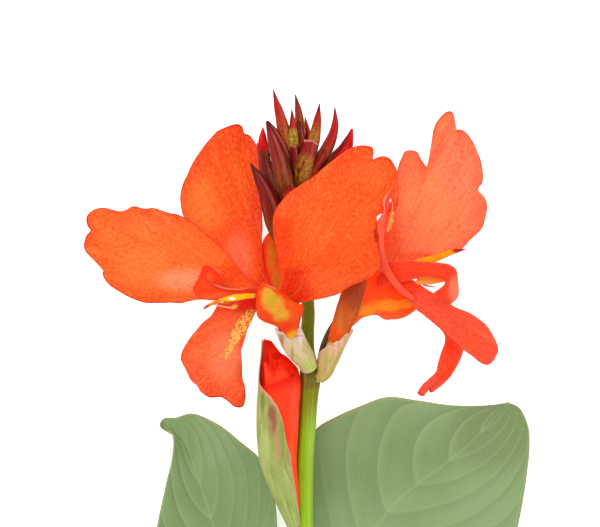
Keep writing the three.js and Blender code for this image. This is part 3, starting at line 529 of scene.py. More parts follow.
def bud_material():
    """Closed buds: maroon to bright red with olive patches and painted highlight lines; each bud carries
    its own tint.
    """
    sh = Shader("bud skins", 0.42, Subsurface_Weight=0.04, Subsurface_Scale=0.4 * MM,
                Specular_IOR_Level=0.1)
    blade, (a, t, _) = sh.field("blade")
    _, (redness, olive, dark) = sh.field("grain")
    streak = sh.noise(blade, (9, 1.6, 1), 4, 0.6)
    thin = sh.noise(blade, (30, 3, 1), 3, 0.6)
    fleck = sh.noise(sh.place(), 900, 4, 0.7)
    dull = sh.less(1.0, redness)
    patch = sh.times(olive, sh.rise(sh.noise(blade, (4.0, 2.4, 1)), 0.36, 0.5))
    # a painted highlight: pale pinkish lines at two fixed angles round each bud, weaker on the red ones
    crest_highlight = sh.rise(sh.math("SINE", sh.plus(sh.times(a, 9.42), 0.9)), 0.86, 1.0, 0, 0.24)
    colour = sh.mix(redness, srgb(112, 34, 32), srgb(232, 18, 18))
    colour = sh.layers(colour, [
        (streak, 0.5, 0.7, 0.5, (184, 62, 54)), (streak, 0.49, 0.34, 0.7, (76, 22, 22)),
        (sh.times(sh.times(sh.rise(t, 0.7, 0.2), dull), 0.4), (120, 66, 30)), (patch, (150, 118, 36)),
        (sh.times(patch, sh.rise(fleck, 0.45, 0.56, 0, 0.7)), (204, 176, 54)),
        (thin, 0.56, 0.7, 0.45, (206, 112, 96)), (thin, 0.46, 0.34, 0.5, (60, 16, 16)),
        (fleck, 0.45, 0.3, 0.35, (60, 14, 16)), (sh.times(crest_highlight, dull), (216, 138, 120)),
        (sh.times(sh.rise(t, 0.78, 1.0), sh.most(dark, 0.0)), (54, 22, 22)),
        (sh.times(sh.rise(t, 0.955, 0.98), sh.most(sh.times(dark, -1.0), 0.0)), (226, 136, 120)),
        (t, 0.25, 0.0, 0.6, (84, 40, 20))])
    return sh.done(colour, (streak, 1.5), (fleck, 0.5), strength=0.45)


# ------------------------------------------------------------------ outlines

# Each blade has two edges from base to tip, and where the tip is broad, the points of its end between the
# left edge and the right one. depth is the height along it, camber its swell, tilt how far the right edge
# is raised, thick its thickness, and wave the ruffle of its edges: height, count, phase. A strap has its
# streaks lengthwise instead of fanned out.
LEFT_FLOWER = {
  "left_staminode_front": dict(
    left=[(-11.1, 58), (-9.4, 62.3), (-8.9, 68.5), (-9.9, 74.9), (-11.1, 80.2), (-11.4, 85), (-11.1, 89.6),
      (-9.4, 93.2), (-3.4, 98.7), (2.8, 102.8), (9.6, 108.5), (15, 112.3)],
    end=[(18.1, 113.7), (20.9, 114.1), (24.2, 113.3), (24.4, 111.4), (24.3, 109.1), (26.1, 109.9),
      (28.6, 110.2), (30.7, 109.1), (32.2, 106.7)],
    right=[(-5.4, 56.9), (0, 58.1), (7.8, 59.7), (12.8, 61.5), (17.1, 64.1), (21.5, 65.9), (25, 68.1),
      (27.2, 70.9), (26.8, 74.9), (25.7, 79.1), (25.3, 82.4), (26.3, 84.2), (26.4, 86.3), (25.7, 87.3),
      (25.7, 88.5), (26.7, 89.4), (29.7, 90), (31.8, 90.6), (33, 92.4), (33.5, 95.6), (33.5, 99),
      (33.3, 101.9), (33.2, 104.4)],
    depth=[40, 44, 47, 48.5, 48, 46], camber=[0, 2, 3, 2, 0], tilt=[0, 0.5, 0], wave=(0.8, 3, 0),
    look=petal((249, 88, 34), (249, 82, 38), [((10, 88), (20, 17), (249, 97, 38), 0.8),
      ((-3, 63), (9, 12), (230, 44, 4), 1.0), ((-8, 78), (5, 15), (246, 58, 20), 0.7),
      ((8, 66), (12, 6), (250, 98, 48), 0.7), ((24, 104), (8, 8), (251, 106, 50), 0.7),
      ((30, 94), (4, 9), (249, 84, 44), 0.7)], line=(232, 62, 30))),
  "left_staminode_upper": dict(
    left=[(-13.3, 58.7), (-19.8, 64.1), (-28.9, 73.8), (-38, 82.5), (-44.3, 89.4), (-45.3, 93.1),
      (-45.3, 96.4), (-44.6, 99.7), (-43.3, 103.5), (-41.6, 107.4), (-39.3, 111.3), (-36.2, 115.7),
      (-32.4, 120.1)],
    end=[(-28.9, 121.7), (-25.4, 122.8), (-24.1, 122.7), (-22.9, 121.6), (-22.6, 119.9), (-21.9, 119.2),
      (-20.8, 119), (-19.4, 117.6)],
    right=[(-10.1, 59.4), (-13.3, 65.9), (-15, 72.4), (-15.4, 80), (-15.6, 91.6), (-16.1, 100.4),
      (-16.6, 109.7), (-17.4, 113.4), (-18, 115.7)],
    depth=[37, 33, 26, 17, 7.5, 1], camber=[0, 1.5, 2, 1, 0.3], wave=(0.8, 2.5, 0.2),
    look=petal((250, 84, 34), (248, 70, 36), [((-36, 93), (11, 15), (253, 118, 48), 0.9),
      ((-26, 101), (12, 15), (250, 92, 24), 0.7), ((-24, 73), (7, 13), (253, 116, 82), 0.9),
      ((-12.6, 64), (7, 13), (224, 36, 4), 1.0), ((-17, 100), (4, 20), (250, 66, 34), 0.7)])),
  "left_staminode_side": dict(
    left=[(-13.3, 56.2), (-23.3, 58.7), (-31.9, 58.7), (-37.5, 58.8), (-44.8, 57.8), (-50.9, 57.6),
      (-56.9, 57.8), (-62.6, 59.4), (-66.8, 61.8), (-70.2, 64), (-72.1, 66.2), (-72.9, 68.2)],
    end=[(-72.4, 69.7), (-75.1, 72.4), (-78, 75.2), (-79.2, 76.9), (-79.4, 79), (-78.4, 82.1), (-77, 83.7),
      (-78.1, 85.3), (-78.6, 87.5), (-78.2, 89.1)],
    right=[(-11.8, 59.4), (-17.4, 63.5), (-20.2, 65.7), (-24.7, 71.2), (-27.5, 74.7), (-32.3, 79.5),
      (-36.6, 83.3), (-41.2, 87.1), (-44.6, 89.1), (-48.2, 89.9), (-54, 91.5), (-57.6, 91.5),
      (-61.9, 92.5), (-64.1, 91.2), (-66.3, 90.5), (-71.7, 91.8), (-75.1, 91.5), (-77.1, 90.4)],
    depth=[42, 43.5, 44, 43, 41, 38], camber=[0, 2, 2.5, 1.5, 0], tilt=[0, -1, -1.5, 0],
    wave=(0.7, 3, 0.4),
    look=petal((250, 108, 46), (248, 88, 38), [((-42, 66), (16, 6), (254, 150, 104), 0.95),
      ((-23, 68), (12, 7), (248, 70, 16), 1.0), ((-57, 72), (13, 8), (250, 128, 58), 0.6),
      ((-52, 88), (14, 4), (248, 90, 50), 0.6)])),
  "left_lip": dict(
    left=[(-11, 55.2), (-14.6, 56), (-16.9, 55.4), (-18.1, 53.6), (-19.3, 51), (-20.6, 48.2),
      (-21.8, 44.6), (-22.9, 40.7), (-22.8, 35.2), (-22.6, 30.3), (-21.9, 27.5), (-21.5, 24),
      (-21.9, 21.4)],
    end=[(-22.5, 20.2), (-23.5, 19.7), (-25.5, 20.1), (-27.2, 21.4), (-28.4, 22.4), (-30.6, 23.5),
      (-33.3, 23.3), (-35, 23.5)],
    right=[(-12.4, 59.4), (-17, 58.6), (-21.6, 57.8), (-24.4, 57.6), (-27.6, 57.6), (-31, 57.4),
      (-32.4, 55.2), (-33.8, 53), (-36, 51.1), (-38.6, 48.6), (-41.3, 45.1), (-44.8, 39), (-44.7, 36.6),
      (-43, 33.3), (-41.2, 29.5), (-39.1, 27.5), (-37.9, 25.4)],
    depth=[39, 38, 34, 28, 22], camber=[0, 2, 2, 0.5], wave=(0.8, 3, 0),
    look=petal((250, 98, 58), (249, 82, 46), [((-29, 38), (9, 12), (253, 134, 94), 0.85),
      ((-24, 56), (9, 2.5), (246, 62, 22), 0.8)], lip_marks)),
  "left_stamen": dict(
    left=[(-12.6, 58), (-16.8, 61.1), (-21.5, 61.1), (-28.6, 59.7), (-33.3, 58.8), (-36.5, 59.6),
      (-38.3, 60.2), (-39.8, 61.7), (-40.1, 63.1), (-38.7, 65.4), (-37.4, 68.4), (-36.3, 70.8)],
    right=[(-12.6, 61.2), (-17.6, 63.8), (-22.9, 62.9), (-26.5, 62.8), (-30.2, 63.3), (-33.3, 64.6),
      (-34.9, 66.1), (-35.2, 68.4), (-36.3, 70.8)],
    depth=[43, 46, 47.5, 48.5, 50], camber=[0, 0.5, -1, -0.5], tilt=[0, 0, 1.2, 0.6], strap=True,
    look=petal((248, 70, 34), (246, 48, 24), [((-35, 58), (5, 4), (250, 104, 50), 0.8),
      ((-22, 58.6), (10, 2), (246, 92, 48), 0.7), ((-30, 60.5), (5, 1.6), (251, 98, 60), 0.8)],
      line=(236, 100, 84), grain=0.5)),
  "left_style": dict(
    left=[(-16.4, 59.8), (-18.1, 59.6), (-20.7, 59.4), (-23.2, 58.9), (-25, 58.6), (-27.2, 58.4),
      (-29.1, 58.4), (-31.5, 57.9), (-34, 57.1), (-36.3, 55.7)],
    right=[(-16.4, 60.9), (-18.1, 61), (-20.7, 61), (-23.2, 60.8), (-25.7, 60.6), (-28.1, 59.9),
      (-29.7, 59.3), (-31.8, 58.4), (-34, 57.5), (-36.3, 55.7)],
    depth=[46.5, 50, 50.5, 50, 49, 48.5], camber=[0, 0.6, 0.5, 0.3, 0], thick=0.9, strap=True, slot="style",
    # the near-white spot at (-26, 59.2) is a painted highlight on the style, the dark red spot at (-16.2,
    # 59.6) painted shade beyond its end
    look=petal((250, 184, 10), (247, 150, 8), [((-26, 59.2), (1.7, 0.8), (255, 252, 220), 1.0),
      ((-36, 56.4), (3, 1.6), (170, 60, 34), 1.0), ((-31.4, 57.8), (3, 1.4), (240, 110, 50), 0.9),
      ((-28.4, 58.8), (1, 1), (214, 188, 20), 0.7), ((-16.2, 59.6), (1.9, 3), (120, 14, 6), 1.0),
      ((-18.6, 60), (0.6, 1.6), (252, 190, 130), 0.7)], line=(236, 130, 20), roughness=0.3, grain=0.2)),
  "left_petal_front": dict(
    left=[(-5.6, 45), (-8.6, 47.9), (-11.1, 49.8), (-14.7, 51), (-16.8, 52.8), (-17.5, 55.9),
      (-17.5, 59.1), (-17.1, 62), (-15.2, 64.9)],
    right=[(-3.7, 45.6), (-2.3, 49), (-1.5, 52.3), (-0.7, 54.6), (-0.7, 56.7), (-3.7, 58), (-6.9, 61),
      (-9.6, 62.6), (-12.5, 63.8), (-15.2, 64.9)],
    depth=[38.5, 42, 45, 48.5, 51], camber=[0.5, 3.5, 3.5, 1], slot="true_petal",
    look=petal((242, 74, 24), (244, 60, 24), [((-4.2, 46), (3.4, 3), (253, 172, 24), 1.0),
      ((-6, 49), (3, 3), (244, 56, 18), 0.7), ((-5, 55), (5, 6), (246, 88, 32), 0.7)],
      marks=speckled((226, 96, 30), (228, 172, 60), [((-13.2, 60.4), (3.6, 4.6)), ((-10.8, 57), (5, 5)),
      ((-8.4, 53.6), (4, 3.6))], 0.5, middle=[((-12, 58.6), (2.8, 4.4), (204, 172, 44), 0.7)]),
      line=(216, 36, 12), grain=0.4)),
  "left_petal_back": dict(
    left=[(-12.6, 56.5), (-14, 64), (-15, 70), (-15.5, 76), (-15.2, 79.8), (-14, 82), (-12.6, 83.4)],
    right=[(-8.6, 56.5), (-7.4, 64.1), (-8, 71), (-9.4, 77.4), (-10.8, 81.4), (-12.6, 83.4)],
    depth=[34.5, 31, 27.5, 25], camber=[0, 1, 1, 0], slot="true_petal",
    # lift=1.25 brightens this petal's colours: painted light in the shade it lies in
    look=petal((212, 60, 2), (222, 54, 6), [((-9.6, 66), (2.4, 8), (204, 84, 4), 0.9),
      ((-12.6, 82), (1.4, 2), (214, 40, 10), 0.7)], marks=speckled((190, 70, 4), (200, 120, 4),
      [((-11.9, 75), (2.2, 8)), ((-10.5, 66), (2.2, 7))], 0.3), line=(206, 44, 14), grain=0.4, lift=1.25)),
}
RIGHT_FLOWER = {
  "right_staminode_upper": dict(
    left=[(24.5, 61.9), (26.3, 71.3), (26.3, 80.3), (28.8, 88.4), (31.4, 97), (33.5, 104.9), (34.8, 109),
      (36.4, 112.7)],
    end=[(37.8, 113.3), (39.2, 113.3), (41.4, 112.4), (42.1, 110.6), (43.3, 108.8), (44.9, 106.6),
      (45.3, 108.8), (45.8, 112), (46.4, 115.4), (47.7, 122.4), (51.1, 126.8), (52.6, 127.6),
      (53.9, 127.4), (54.7, 124.2), (54.9, 120.5), (55.6, 120.2), (56.6, 121), (59.2, 119.5)],
    right=[(29.3, 61.9), (34.4, 67.4), (40.2, 71.2), (49, 73.7), (56.5, 76.6), (60, 80.3), (63.2, 83.5),
      (65.2, 86.2), (66, 88.8), (66.4, 92.1), (66.2, 94.3), (65.2, 96.3), (63.2, 98.4), (63.5, 99.8),
      (64.5, 100.7), (65.2, 103.6), (64.3, 109.1), (61.9, 115.8)],
    depth=[28, 25, 19, 12, 5.5, 1], camber=[0, 1.5, 2, 1.5, 0.3], wave=(0.8, 2.5, 0),
    # lift=1.16 brightens this petal's colours: painted light in the shade of the petals over it
    look=petal((250, 122, 84), (250, 102, 72), [((44, 92), (13, 18), (249, 138, 88), 0.9),
      ((31, 80), (6, 12), (249, 86, 44), 0.9), ((57, 106), (8, 12), (252, 126, 98), 0.7),
      ((40, 74), (12, 3), (246, 72, 30), 0.6), ((48, 74), (9, 2.4), (242, 66, 26), 0.6),
      ((30.4, 86), (3.4, 12), (250, 74, 36), 0.9)], line=(232, 74, 52), lift=1.16)),
  "right_petal_upper": dict(
    left=[(27.1, 67.3), (39.7, 73), (47, 75), (53.1, 76.9), (58.4, 77)],
    right=[(28.2, 62.6), (37.9, 70.2), (45.2, 71.8), (48.8, 73.1), (52.4, 74.7), (58.4, 77)],
    depth=[30, 30, 28, 27], camber=[0, 0.8, 0.5, 0], slot="true_petal",
    look=petal((248, 164, 16), (232, 90, 20), [((55.6, 76.8), (3.8, 2.2), (178, 22, 30), 1.0),
      ((42, 73.5), (6, 3), (250, 164, 4), 0.9)], grain=0.2)),
  "right_petal_lower": dict(
    left=[(17.3, 56.5), (20, 64.5), (26.4, 70), (33.6, 69), (38.4, 63), (41.6, 56.6)],
    right=[(14.8, 47.8), (17.5, 49.5), (19.8, 51.6), (22.2, 52.8), (25.8, 53.1), (28.7, 51.7),
      (32.7, 51.6), (37.2, 53), (41.6, 56.6)],
    depth=[30.5, 31.5, 30.5, 28, 26.5], camber=[1.5, 1.5, 1, 0.5], tilt=[-1.5, -1.5, -0.5, 0],
    slot="true_petal",
    # lift=1.6 brightens this petal's colours: painted light in the shadow that the lip casts on it
    look=petal((250, 66, 26), (249, 84, 52), marks=speckled((250, 96, 28), (252, 150, 40),
      [((30, 56.6), (10, 2.8)), ((21, 54.8), (7, 2.6)), ((37, 57.4), (5, 1.9))], 0.5), line=(252, 168, 150),
      grain=0.4, lift=1.6)),
  "right_lip": dict(
    left=[(25.9, 66), (33.5, 68), (39.2, 65.5), (45.3, 61.6), (50.4, 58.3), (54.6, 55.9), (58.6, 54.3),
      (61.9, 52.5), (65.3, 49.8), (67.6, 46.5), (69.8, 42), (69.9, 40.1), (68.3, 36.5)],
    right=[(27.6, 65.6), (31.7, 63), (36.2, 59.6), (40.5, 55.3), (46.9, 49.8), (52.4, 45), (57.6, 40.4),
      (60.4, 38.4), (63.5, 35.9), (66.1, 35.1), (68.3, 36.5)],
    depth=[34.5, 36, 35.5, 32, 27, 22], camber=[0, 1.5, 1.5, 1, 0],
    look=petal((250, 82, 58), (252, 88, 68), [((60, 46), (8, 6), (250, 88, 58), 0.6),
      ((36, 63), (8, 5), (250, 52, 26), 0.9)], line=(226, 44, 36), grain=0.7)),
  "right_ribbon": dict(
    left=[(28.2, 63), (40.5, 60.8), (50.1, 54.2), (56, 46.5), (57.6, 40.5), (56.7, 37), (54.6, 32.8),
      (52.4, 29.7), (49.5, 26.9), (46.7, 24.8)],
    end=[(45.9, 24.7), (44.8, 26.7), (44.1, 25), (43.4, 23.5), (41.9, 23.7)],
    right=[(28.6, 61.8), (33, 60.4), (38.2, 56.6), (46, 51), (50.6, 46.2), (50.9, 43.6), (49.7, 39.6),
      (48.5, 35.5), (47.8, 32.4), (45.1, 29.6), (42.6, 27.2), (41, 24.6)],
    depth=[27.5, 25, 21, 14, 8, 4], camber=[0, 1, 1, 0.5], strap=True,
    # lift=1.15 brightens this petal's colours: painted light in the shade it lies in
    look=petal((250, 66, 44), (246, 84, 62), [((45, 27), (6, 5), (244, 88, 72), 0.7),
      ((52, 44), (5, 6), (240, 50, 28), 0.7)], grain=0.7, lift=1.15)),
  "right_staminode_curled": dict(
    left=[(25.9, 67), (30.2, 72.2), (34.1, 72.9), (43.1, 72.4), (48.2, 72), (51.5, 71.5), (53.9, 70),
      (54.7, 67), (55.2, 63), (55.1, 60.5), (54.3, 58.9), (52.1, 57.1)],
    right=[(25.9, 63.4), (32.3, 64.5), (39.1, 66.3), (44.9, 67), (47, 66.8), (48.8, 66.4), (50.2, 65.4),
      (50, 63.8), (48.4, 62.1), (45.9, 61.1), (45.2, 59.6), (52.1, 57.1)],
    depth=[36, 39, 40, 41.5, 42.5, 41, 37], camber=[0, 1, 1, 0.5], strap=True,
    look=petal((251, 62, 38), (248, 80, 58), [((54, 62), (3.5, 7), (252, 130, 104), 0.95),
      ((44, 66.2), (4.5, 1.2), (250, 170, 60), 0.9)], line=(246, 110, 96), grain=0.5)),
  "right_stamen": dict(
    left=[(39.5, 58.4), (35.9, 60), (32.6, 62.8), (29.8, 66.3), (27.3, 70.4), (26.3, 75.4), (25.9, 80.2),
      (25.8, 84.6), (26, 86.9), (27.4, 89.1), (28.3, 91.6), (28.9, 94), (29.8, 96), (30.6, 97.2)],
    right=[(39, 59.6), (36.8, 61.9), (34.1, 64.5), (31.6, 68.1), (29.4, 72.4), (28.2, 76.7), (27.9, 80.3),
      (28.2, 83.6), (28.6, 86.6), (29.3, 89.1), (30, 91.6), (30.4, 94), (30.6, 96), (30.6, 97.2)],
    depth=[38.5, 41, 42, 43.5, 46.5, 50, 51, 51], camber=[0, 0.6, 0.6, 0], thick=0.9, strap=True,
    look=petal((250, 92, 70), (246, 74, 56), [((27.4, 80), (2, 9), (252, 102, 84), 0.8),
      ((29.6, 90), (1, 3.6), (244, 50, 44), 0.8)], line=(240, 84, 60), grain=0.3)),
  "right_sepal": dict(
    left=[(5.1, 30), (6.1, 35.5), (7.9, 42.4), (9.7, 50), (11.9, 57.6), (13.5, 61.9), (18, 64.4),
      (22.5, 66.1)],
    right=[(6.5, 29.7), (10.8, 35.5), (14.1, 42.4), (17.1, 49.3), (19.2, 53.5), (20.9, 59.4),
      (22.5, 66.1)],
    depth=[25.2, 26.8, 29.2, 32.6, 34.8, 35], camber=[0.4, 1.4, 1.6, 0.8], strap=True, slot="bud",
    # lift=1.18 brightens the sepal's colours: painted light in the shade it lies in
    look=petal((176, 84, 40), (150, 62, 36), [((11, 45), (4.5, 9), (214, 80, 26), 1.0),
      ((18, 60), (5, 7), (134, 66, 44), 0.9), ((12.6, 53), (1.6, 9), (176, 112, 62), 0.6)],
      line=(240, 160, 130), grain=0.6, lift=1.18)),
}
SMALL_PARTS = {
  "left_stamen_fold": dict(
    left=[(-36.5, 70.4), (-35.9, 68.1), (-35.1, 66.4), (-33.4, 65.2), (-31.4, 64.6), (-29, 64)],
    right=[(-36.2, 70.9), (-34.8, 71.1), (-32.6, 69.7), (-30.5, 67.4), (-29.3, 65.7), (-29, 64)],
    depth=[50.2, 51.5, 51.8, 51], camber=[0, 0.8, 0.5, 0], look="stamen fold"),
  "left_pale_strand": dict(
    left=[(-26, 55.6), (-28.3, 56), (-30.8, 56.5), (-32.7, 57), (-34.1, 56.8)],
    right=[(-26, 56.3), (-28.3, 56.5), (-30.8, 57), (-32.6, 57.4), (-34.1, 56.8)],
    depth=[46.8, 47, 47, 46.5], thick=0.5, slot="style", look="pale strand"),
  "left_pale_knob": dict(
    left=[(-24.1, 56.8), (-24.8, 55.8), (-25.9, 55.6), (-26.7, 55.9)],
    right=[(-24.1, 56.8), (-25, 57.3), (-25.9, 56.9), (-26.7, 55.9)],
    depth=[46.6, 47.2, 46.6], camber=[0, 0.6, 0], thick=0.7, slot="style", look="pollen"),
  "left_throat": dict(
    left=[(-15.4, 55), (-17.9, 55.4), (-21.1, 55.3), (-24, 55.4), (-27.2, 56.7), (-29.4, 57.9)],
    right=[(-15.4, 60.9), (-17.9, 60.3), (-21.1, 59.7), (-24, 59), (-26.9, 58.5), (-29.4, 58.2)],
    depth=[44.6, 45, 45.6, 46], thick=0.5, look="red throat"),
  "left_style_strand": dict(
    left=[(-26.8, 57.6), (-29.7, 57.4), (-32.2, 57.3), (-34.3, 56.3), (-36.1, 55.2)],
    right=[(-26.8, 58), (-29.7, 57.9), (-32.2, 57.7), (-34.3, 56.7), (-36.1, 55.2)],
    depth=[48, 48, 47.6], thick=0.5, slot="style", look="orange strand"),
  "left_stamen_rim": dict(
    left=[(-33.3, 64.8), (-31.6, 63.8), (-29.7, 63), (-27.2, 62.5), (-24.7, 62.4), (-22.2, 62.5),
      (-19.1, 63.4)],
    right=[(-33.3, 64.8), (-31.5, 64.4), (-29.7, 63.5), (-27.2, 63), (-24.7, 62.8), (-22.2, 62.9),
      (-19.1, 63.4)],
    depth=[50.8, 50.4, 49.8, 49.2, 48.4, 47.4], thick=0.5, look="pink rim"),
  "left_petal_rim": dict(
    left=[(-15, 64.9), (-13.3, 63.8), (-11.1, 62.8), (-9.3, 62.1)],
    right=[(-15, 64.9), (-13.1, 64.1), (-10.9, 63.1), (-9.3, 62.1)],
    depth=[51.8, 51.4, 50.6], thick=0.5, slot="true_petal", look="pink rim"),
  "right_pale_strand": dict(
    left=[(27.3, 86.5), (28, 89.5), (28.2, 91.4), (27.7, 92.8), (28, 95), (29.2, 96.9), (30.7, 98.1)],
    right=[(27.7, 86.5), (28.3, 89.5), (28.6, 91.4), (28.6, 92.8), (28.9, 94.8), (29.8, 96.6),
      (30.7, 98.1)],
    depth=[51, 51.7, 52, 52, 52, 51.6], thick=0.4, look="pink rim"),
  "right_anther": dict(
    left=[(29, 83.2), (29.2, 84.6), (29.7, 85.6), (29.8, 87), (30.4, 88), (30.5, 89.4), (30.9, 90.6),
      (31, 92)],
    right=[(30.1, 83.2), (30.8, 84.4), (30.9, 85.8), (31.7, 86.8), (31.4, 88.2), (31.8, 89.4),
      (31.5, 90.8), (31.2, 92)],
    depth=[50.6, 51, 51, 50.8], camber=[0, 0.6, 0.6, 0], wave=(0.4, 6, 0), thick=0.7, slot="style",
    look="anther"),
  "right_anther_back": dict(
    left=[(30.4, 95.1), (30.8, 93.8), (31, 91.6), (30.9, 89.6)],
    right=[(30.8, 95.1), (31.2, 93.8), (31.6, 91.6), (31.4, 89.6)],
    depth=[51.2, 51, 50.8, 50.6], thick=0.5, look="pink rim"),
  "right_knob": dict(
    left=[(30.1, 93.8), (30.2, 94.5), (30.7, 95)],
    right=[(30.5, 93.8), (30.8, 94.3), (30.7, 95)],
    depth=[51.6, 52, 51.6], thick=0.5, slot="style", look="white knob"),
  # a dark strip beside the stamen: painted shade of a folded petal edge
  "right_shade_strip": dict(
    left=[(25.5, 79.5), (24.9, 82), (24.9, 83.8), (25.4, 85.4)],
    right=[(25.9, 79.5), (26.1, 82), (26.1, 83.8), (25.7, 85.4)],
    depth=[49, 49.4, 49], thick=0.4, look="throat"),
  "right_curl_lining": dict(
    left=[(40.4, 66.9), (45, 67.1), (48.8, 66.8), (51.6, 66)],
    right=[(39.6, 64.4), (43.4, 64.2), (47.4, 64.7), (51.6, 65.6)],
    depth=[37, 37.4, 37.8, 38.6], look="pollen"),
  "right_curl_thread": dict(
    left=[(42.4, 64.4), (44.6, 63.9), (47.4, 63.4)],
    right=[(42.4, 63.9), (44.6, 63.4), (47.4, 63.3)],
    depth=[37.2, 37.4, 37.6], thick=0.5, look="throat"),
}

# ------------------------------------------------------------------ surfaces

def fan_of(grid, spec, seed, tt, ss):
    """Streak coordinates: angle round a point behind the base, and distance from it."""
    if spec.get("strap"):
        return triples(ss * 0.16, tt * 2.2, seed)
    root = (np.array(spec["left"][0], float) + np.array(spec["right"][0], float)) / 2
    middle = grid[grid.shape[0] // 2, grid.shape[1] // 2, :2]
    ahead = (middle - root) / np.linalg.norm(middle - root)
    off = grid[..., :2] - (root - 8 * ahead)
    along = off @ ahead
    side = off @ np.array([ahead[1], -ahead[0]])
    return triples(np.arctan2(side, along), np.hypot(along, side) / 30, seed)


END_FROM = 0.35      # share of the length from which the outline of the end takes over
RIM_FOLD = 0.32      # small folds of a petal, mm: along its rim, across it, and sideways
CROSS_FOLD = 0.12
SWAY = 0.16


def blade_piece(name, spec, material, seed, node=None, rows=110, cols=41):
    """A petal-like blade: two edges, depth, camber, ruffles, and the small folds of live tissue."""
    tt, ss = net(rows, cols)
    a, b = (route(spec[edge])(tt[:, 0])[:, None] for edge in ("left", "right"))
    share = ((ss + 1) / 2)[..., None]
    grid = a * (1 - share) + b * share
    if "end" in spec:
        end = route([spec["left"][-1], *spec["end"], spec["right"][-1]])(share[0, :, 0])
        chord = end[:1] * (1 - share[0]) + end[-1:] * share[0]
        reach = np.clip((tt - END_FROM) / (1 - END_FROM), 0, 1)[..., None]
        grid += (end - chord)[None] * reach**1.5
    width = np.maximum(np.linalg.norm(b - a, axis=-1), 0.5)
    across = ((b - a) / width[..., None])[..., :2]
    height, count, phase = spec.get("wave", (0, 1, 0))
    lift = blend_of(spec["depth"])(tt) + blend_of(spec.get("tilt", [0]))(tt) * ss
    lift += blend_of(spec.get("camber", [0]))(tt) * (1 - ss**2)
    lift += height * ss * np.abs(ss) * np.sin(FULL_TURN * (count * tt + phase))
    rng = np.random.default_rng(seed)
    small = np.clip(width / 30, 0, 1)
    for k in range(1, 4):
        turn = rng.uniform(0, FULL_TURN, 3)
        rim_waves = np.sin(FULL_TURN * (2.2 + 2.1 * k) * tt + turn[0] + 2 * k * ss)
        lift += small * RIM_FOLD / k * ss**2 * rim_waves
        lift += small * CROSS_FOLD / k * np.sin(FULL_TURN * k * ss + turn[1] + 3 * tt)
        sway = np.sin(FULL_TURN * (3 * k + 2) * tt + turn[2]) * np.clip(np.sin(math.pi * tt), 0, 1)
        grid[..., :2] += across * (small * SWAY / k * sway * ss**3)[..., None]
    grid[..., 2] += np.maximum(lift, LEAST_LIFT)
    thick = spec.get("thick", PETAL_THICK) * (1 - 0.5 * np.abs(ss) ** 6) * (1 - 0.3 * tt**4)
    fields = {"blade": triples(ss, tt, seed), "grain": fan_of(grid, spec, seed, tt, ss)}
    slab_piece(name, grid, thick, fields, material, node, closed_tip="end" not in spec)


def wrap_piece(name, material, slot, axis, radius, start, end, turn, span, rim=None, node=None, point=0.12,
               thick=BRACT_THICK, rows=60, cols=61, flare=0.0, seed=1):
    """A bract or sheath that wraps a round body. turn is where its middle lies, from +Z to the right, span
    its full angle. rim lists (angle, share of the axis) along its free edge; without it the sides fall
    back by point."""
    path = route(axis)
    tt, ss = net(rows, cols)
    narrow = 0 if rim else 0.35 * point * tt
    if rim:
        reach = start + (ramp_of(rim)(turn + ss * span / 2) - start) * tt
    else:
        reach = start + (end - start) * tt * (1 - point * ss**2)
    side, up = frames_along(path, reach)
    angle = np.radians(turn + ss * span * (1 - narrow) / 2)
    rng = np.random.default_rng(seed)
    folds = sum(np.sin(k * angle + 2 * tt + rng.uniform(0, 6)) / k for k in (3, 5, 7))
    away = blend_of(radius)((reach - start) / (end - start)) + 0.1 * folds * tt + flare * tt**6
    grid = path(reach) + (side * np.sin(angle)[..., None] + up * np.cos(angle)[..., None]) * away[..., None]
    body = thick * (1 - 0.55 * np.abs(ss) ** 8) * (1 - 0.4 * tt**6)
    slab_piece(name, grid, body, {"blade": triples(ss, tt, seed)}, material, node, closed_tip=False)


MAIN_VEINS = 11
SMALL_VEINS = 6      # between two main ones
PLEAT = 0.4          # height of the swell between two veins, of the rim's waves and of the ridge, mm
RIM_WAVE = 0.9
RIDGE = 0.35
MIDRIB_R = 1.9

# Outlines as above, round a midrib: depth is its height along it, sides how far the blade's sides rise.
# The sheath stands off the stem by sheath_gap, faces sheath_turn and reaches sheath_end of the stalk.
LEAVES = {
  "leaf_right": dict(
    mid=[(1.5, -118), (3, -100), (8, -64), (29, -20.5), (59, 4.7), (74.5, 21)],
    left=[(0.5, -118), (-2, -85), (-4, -50), (-4, -20), (-1, 2), (4, 11.2), (11.2, 15.7), (20.3, 19.7),
      (30, 23), (41, 21.8), (54, 20), (67, 20), (74.5, 21)],
    right=[(2.5, -118), (18, -105), (40, -86), (61, -60), (75.6, -32), (81.6, -1), (82.1, 6), (81.9, 11),
      (80.4, 15.8), (78.3, 19.2), (74.5, 21)],
    depth=[3.4, 2.4, 1.6, 1.4, 1.7, 3.5], sides=[0, 3.5, 5, 5, 4, 0], seed=3,
    sheath_gap=0.5, sheath_turn=150, sheath_end=0.175),
  "leaf_left": dict(
    mid=[(-1.5, -120), (-6, -104), (-13, -85), (-27, -45), (-38, -10), (-47, 15.5)],
    left=[(-2.5, -120), (-14, -112), (-35, -94), (-50, -66), (-55, -35), (-51, -10), (-48.6, 0),
      (-48, 7.6), (-49, 10.6), (-51.6, 11.2), (-53.1, 12.6), (-51.8, 15.1), (-47, 15.5)],
    right=[(-0.5, -120), (-3, -100), (-8, -72), (-10, -42), (-11, -15), (-15.7, -0.6), (-23.6, 6.7),
      (-32.5, 13.5), (-41.4, 17), (-47, 15.5)],
    depth=[3.6, 2.4, 1.7, 1.4, 1.6, 5], sides=[0, 3, 5, 6, 6, 0], seed=8,
    sheath_gap=2.0, sheath_turn=-150, sheath_end=0.16),
}


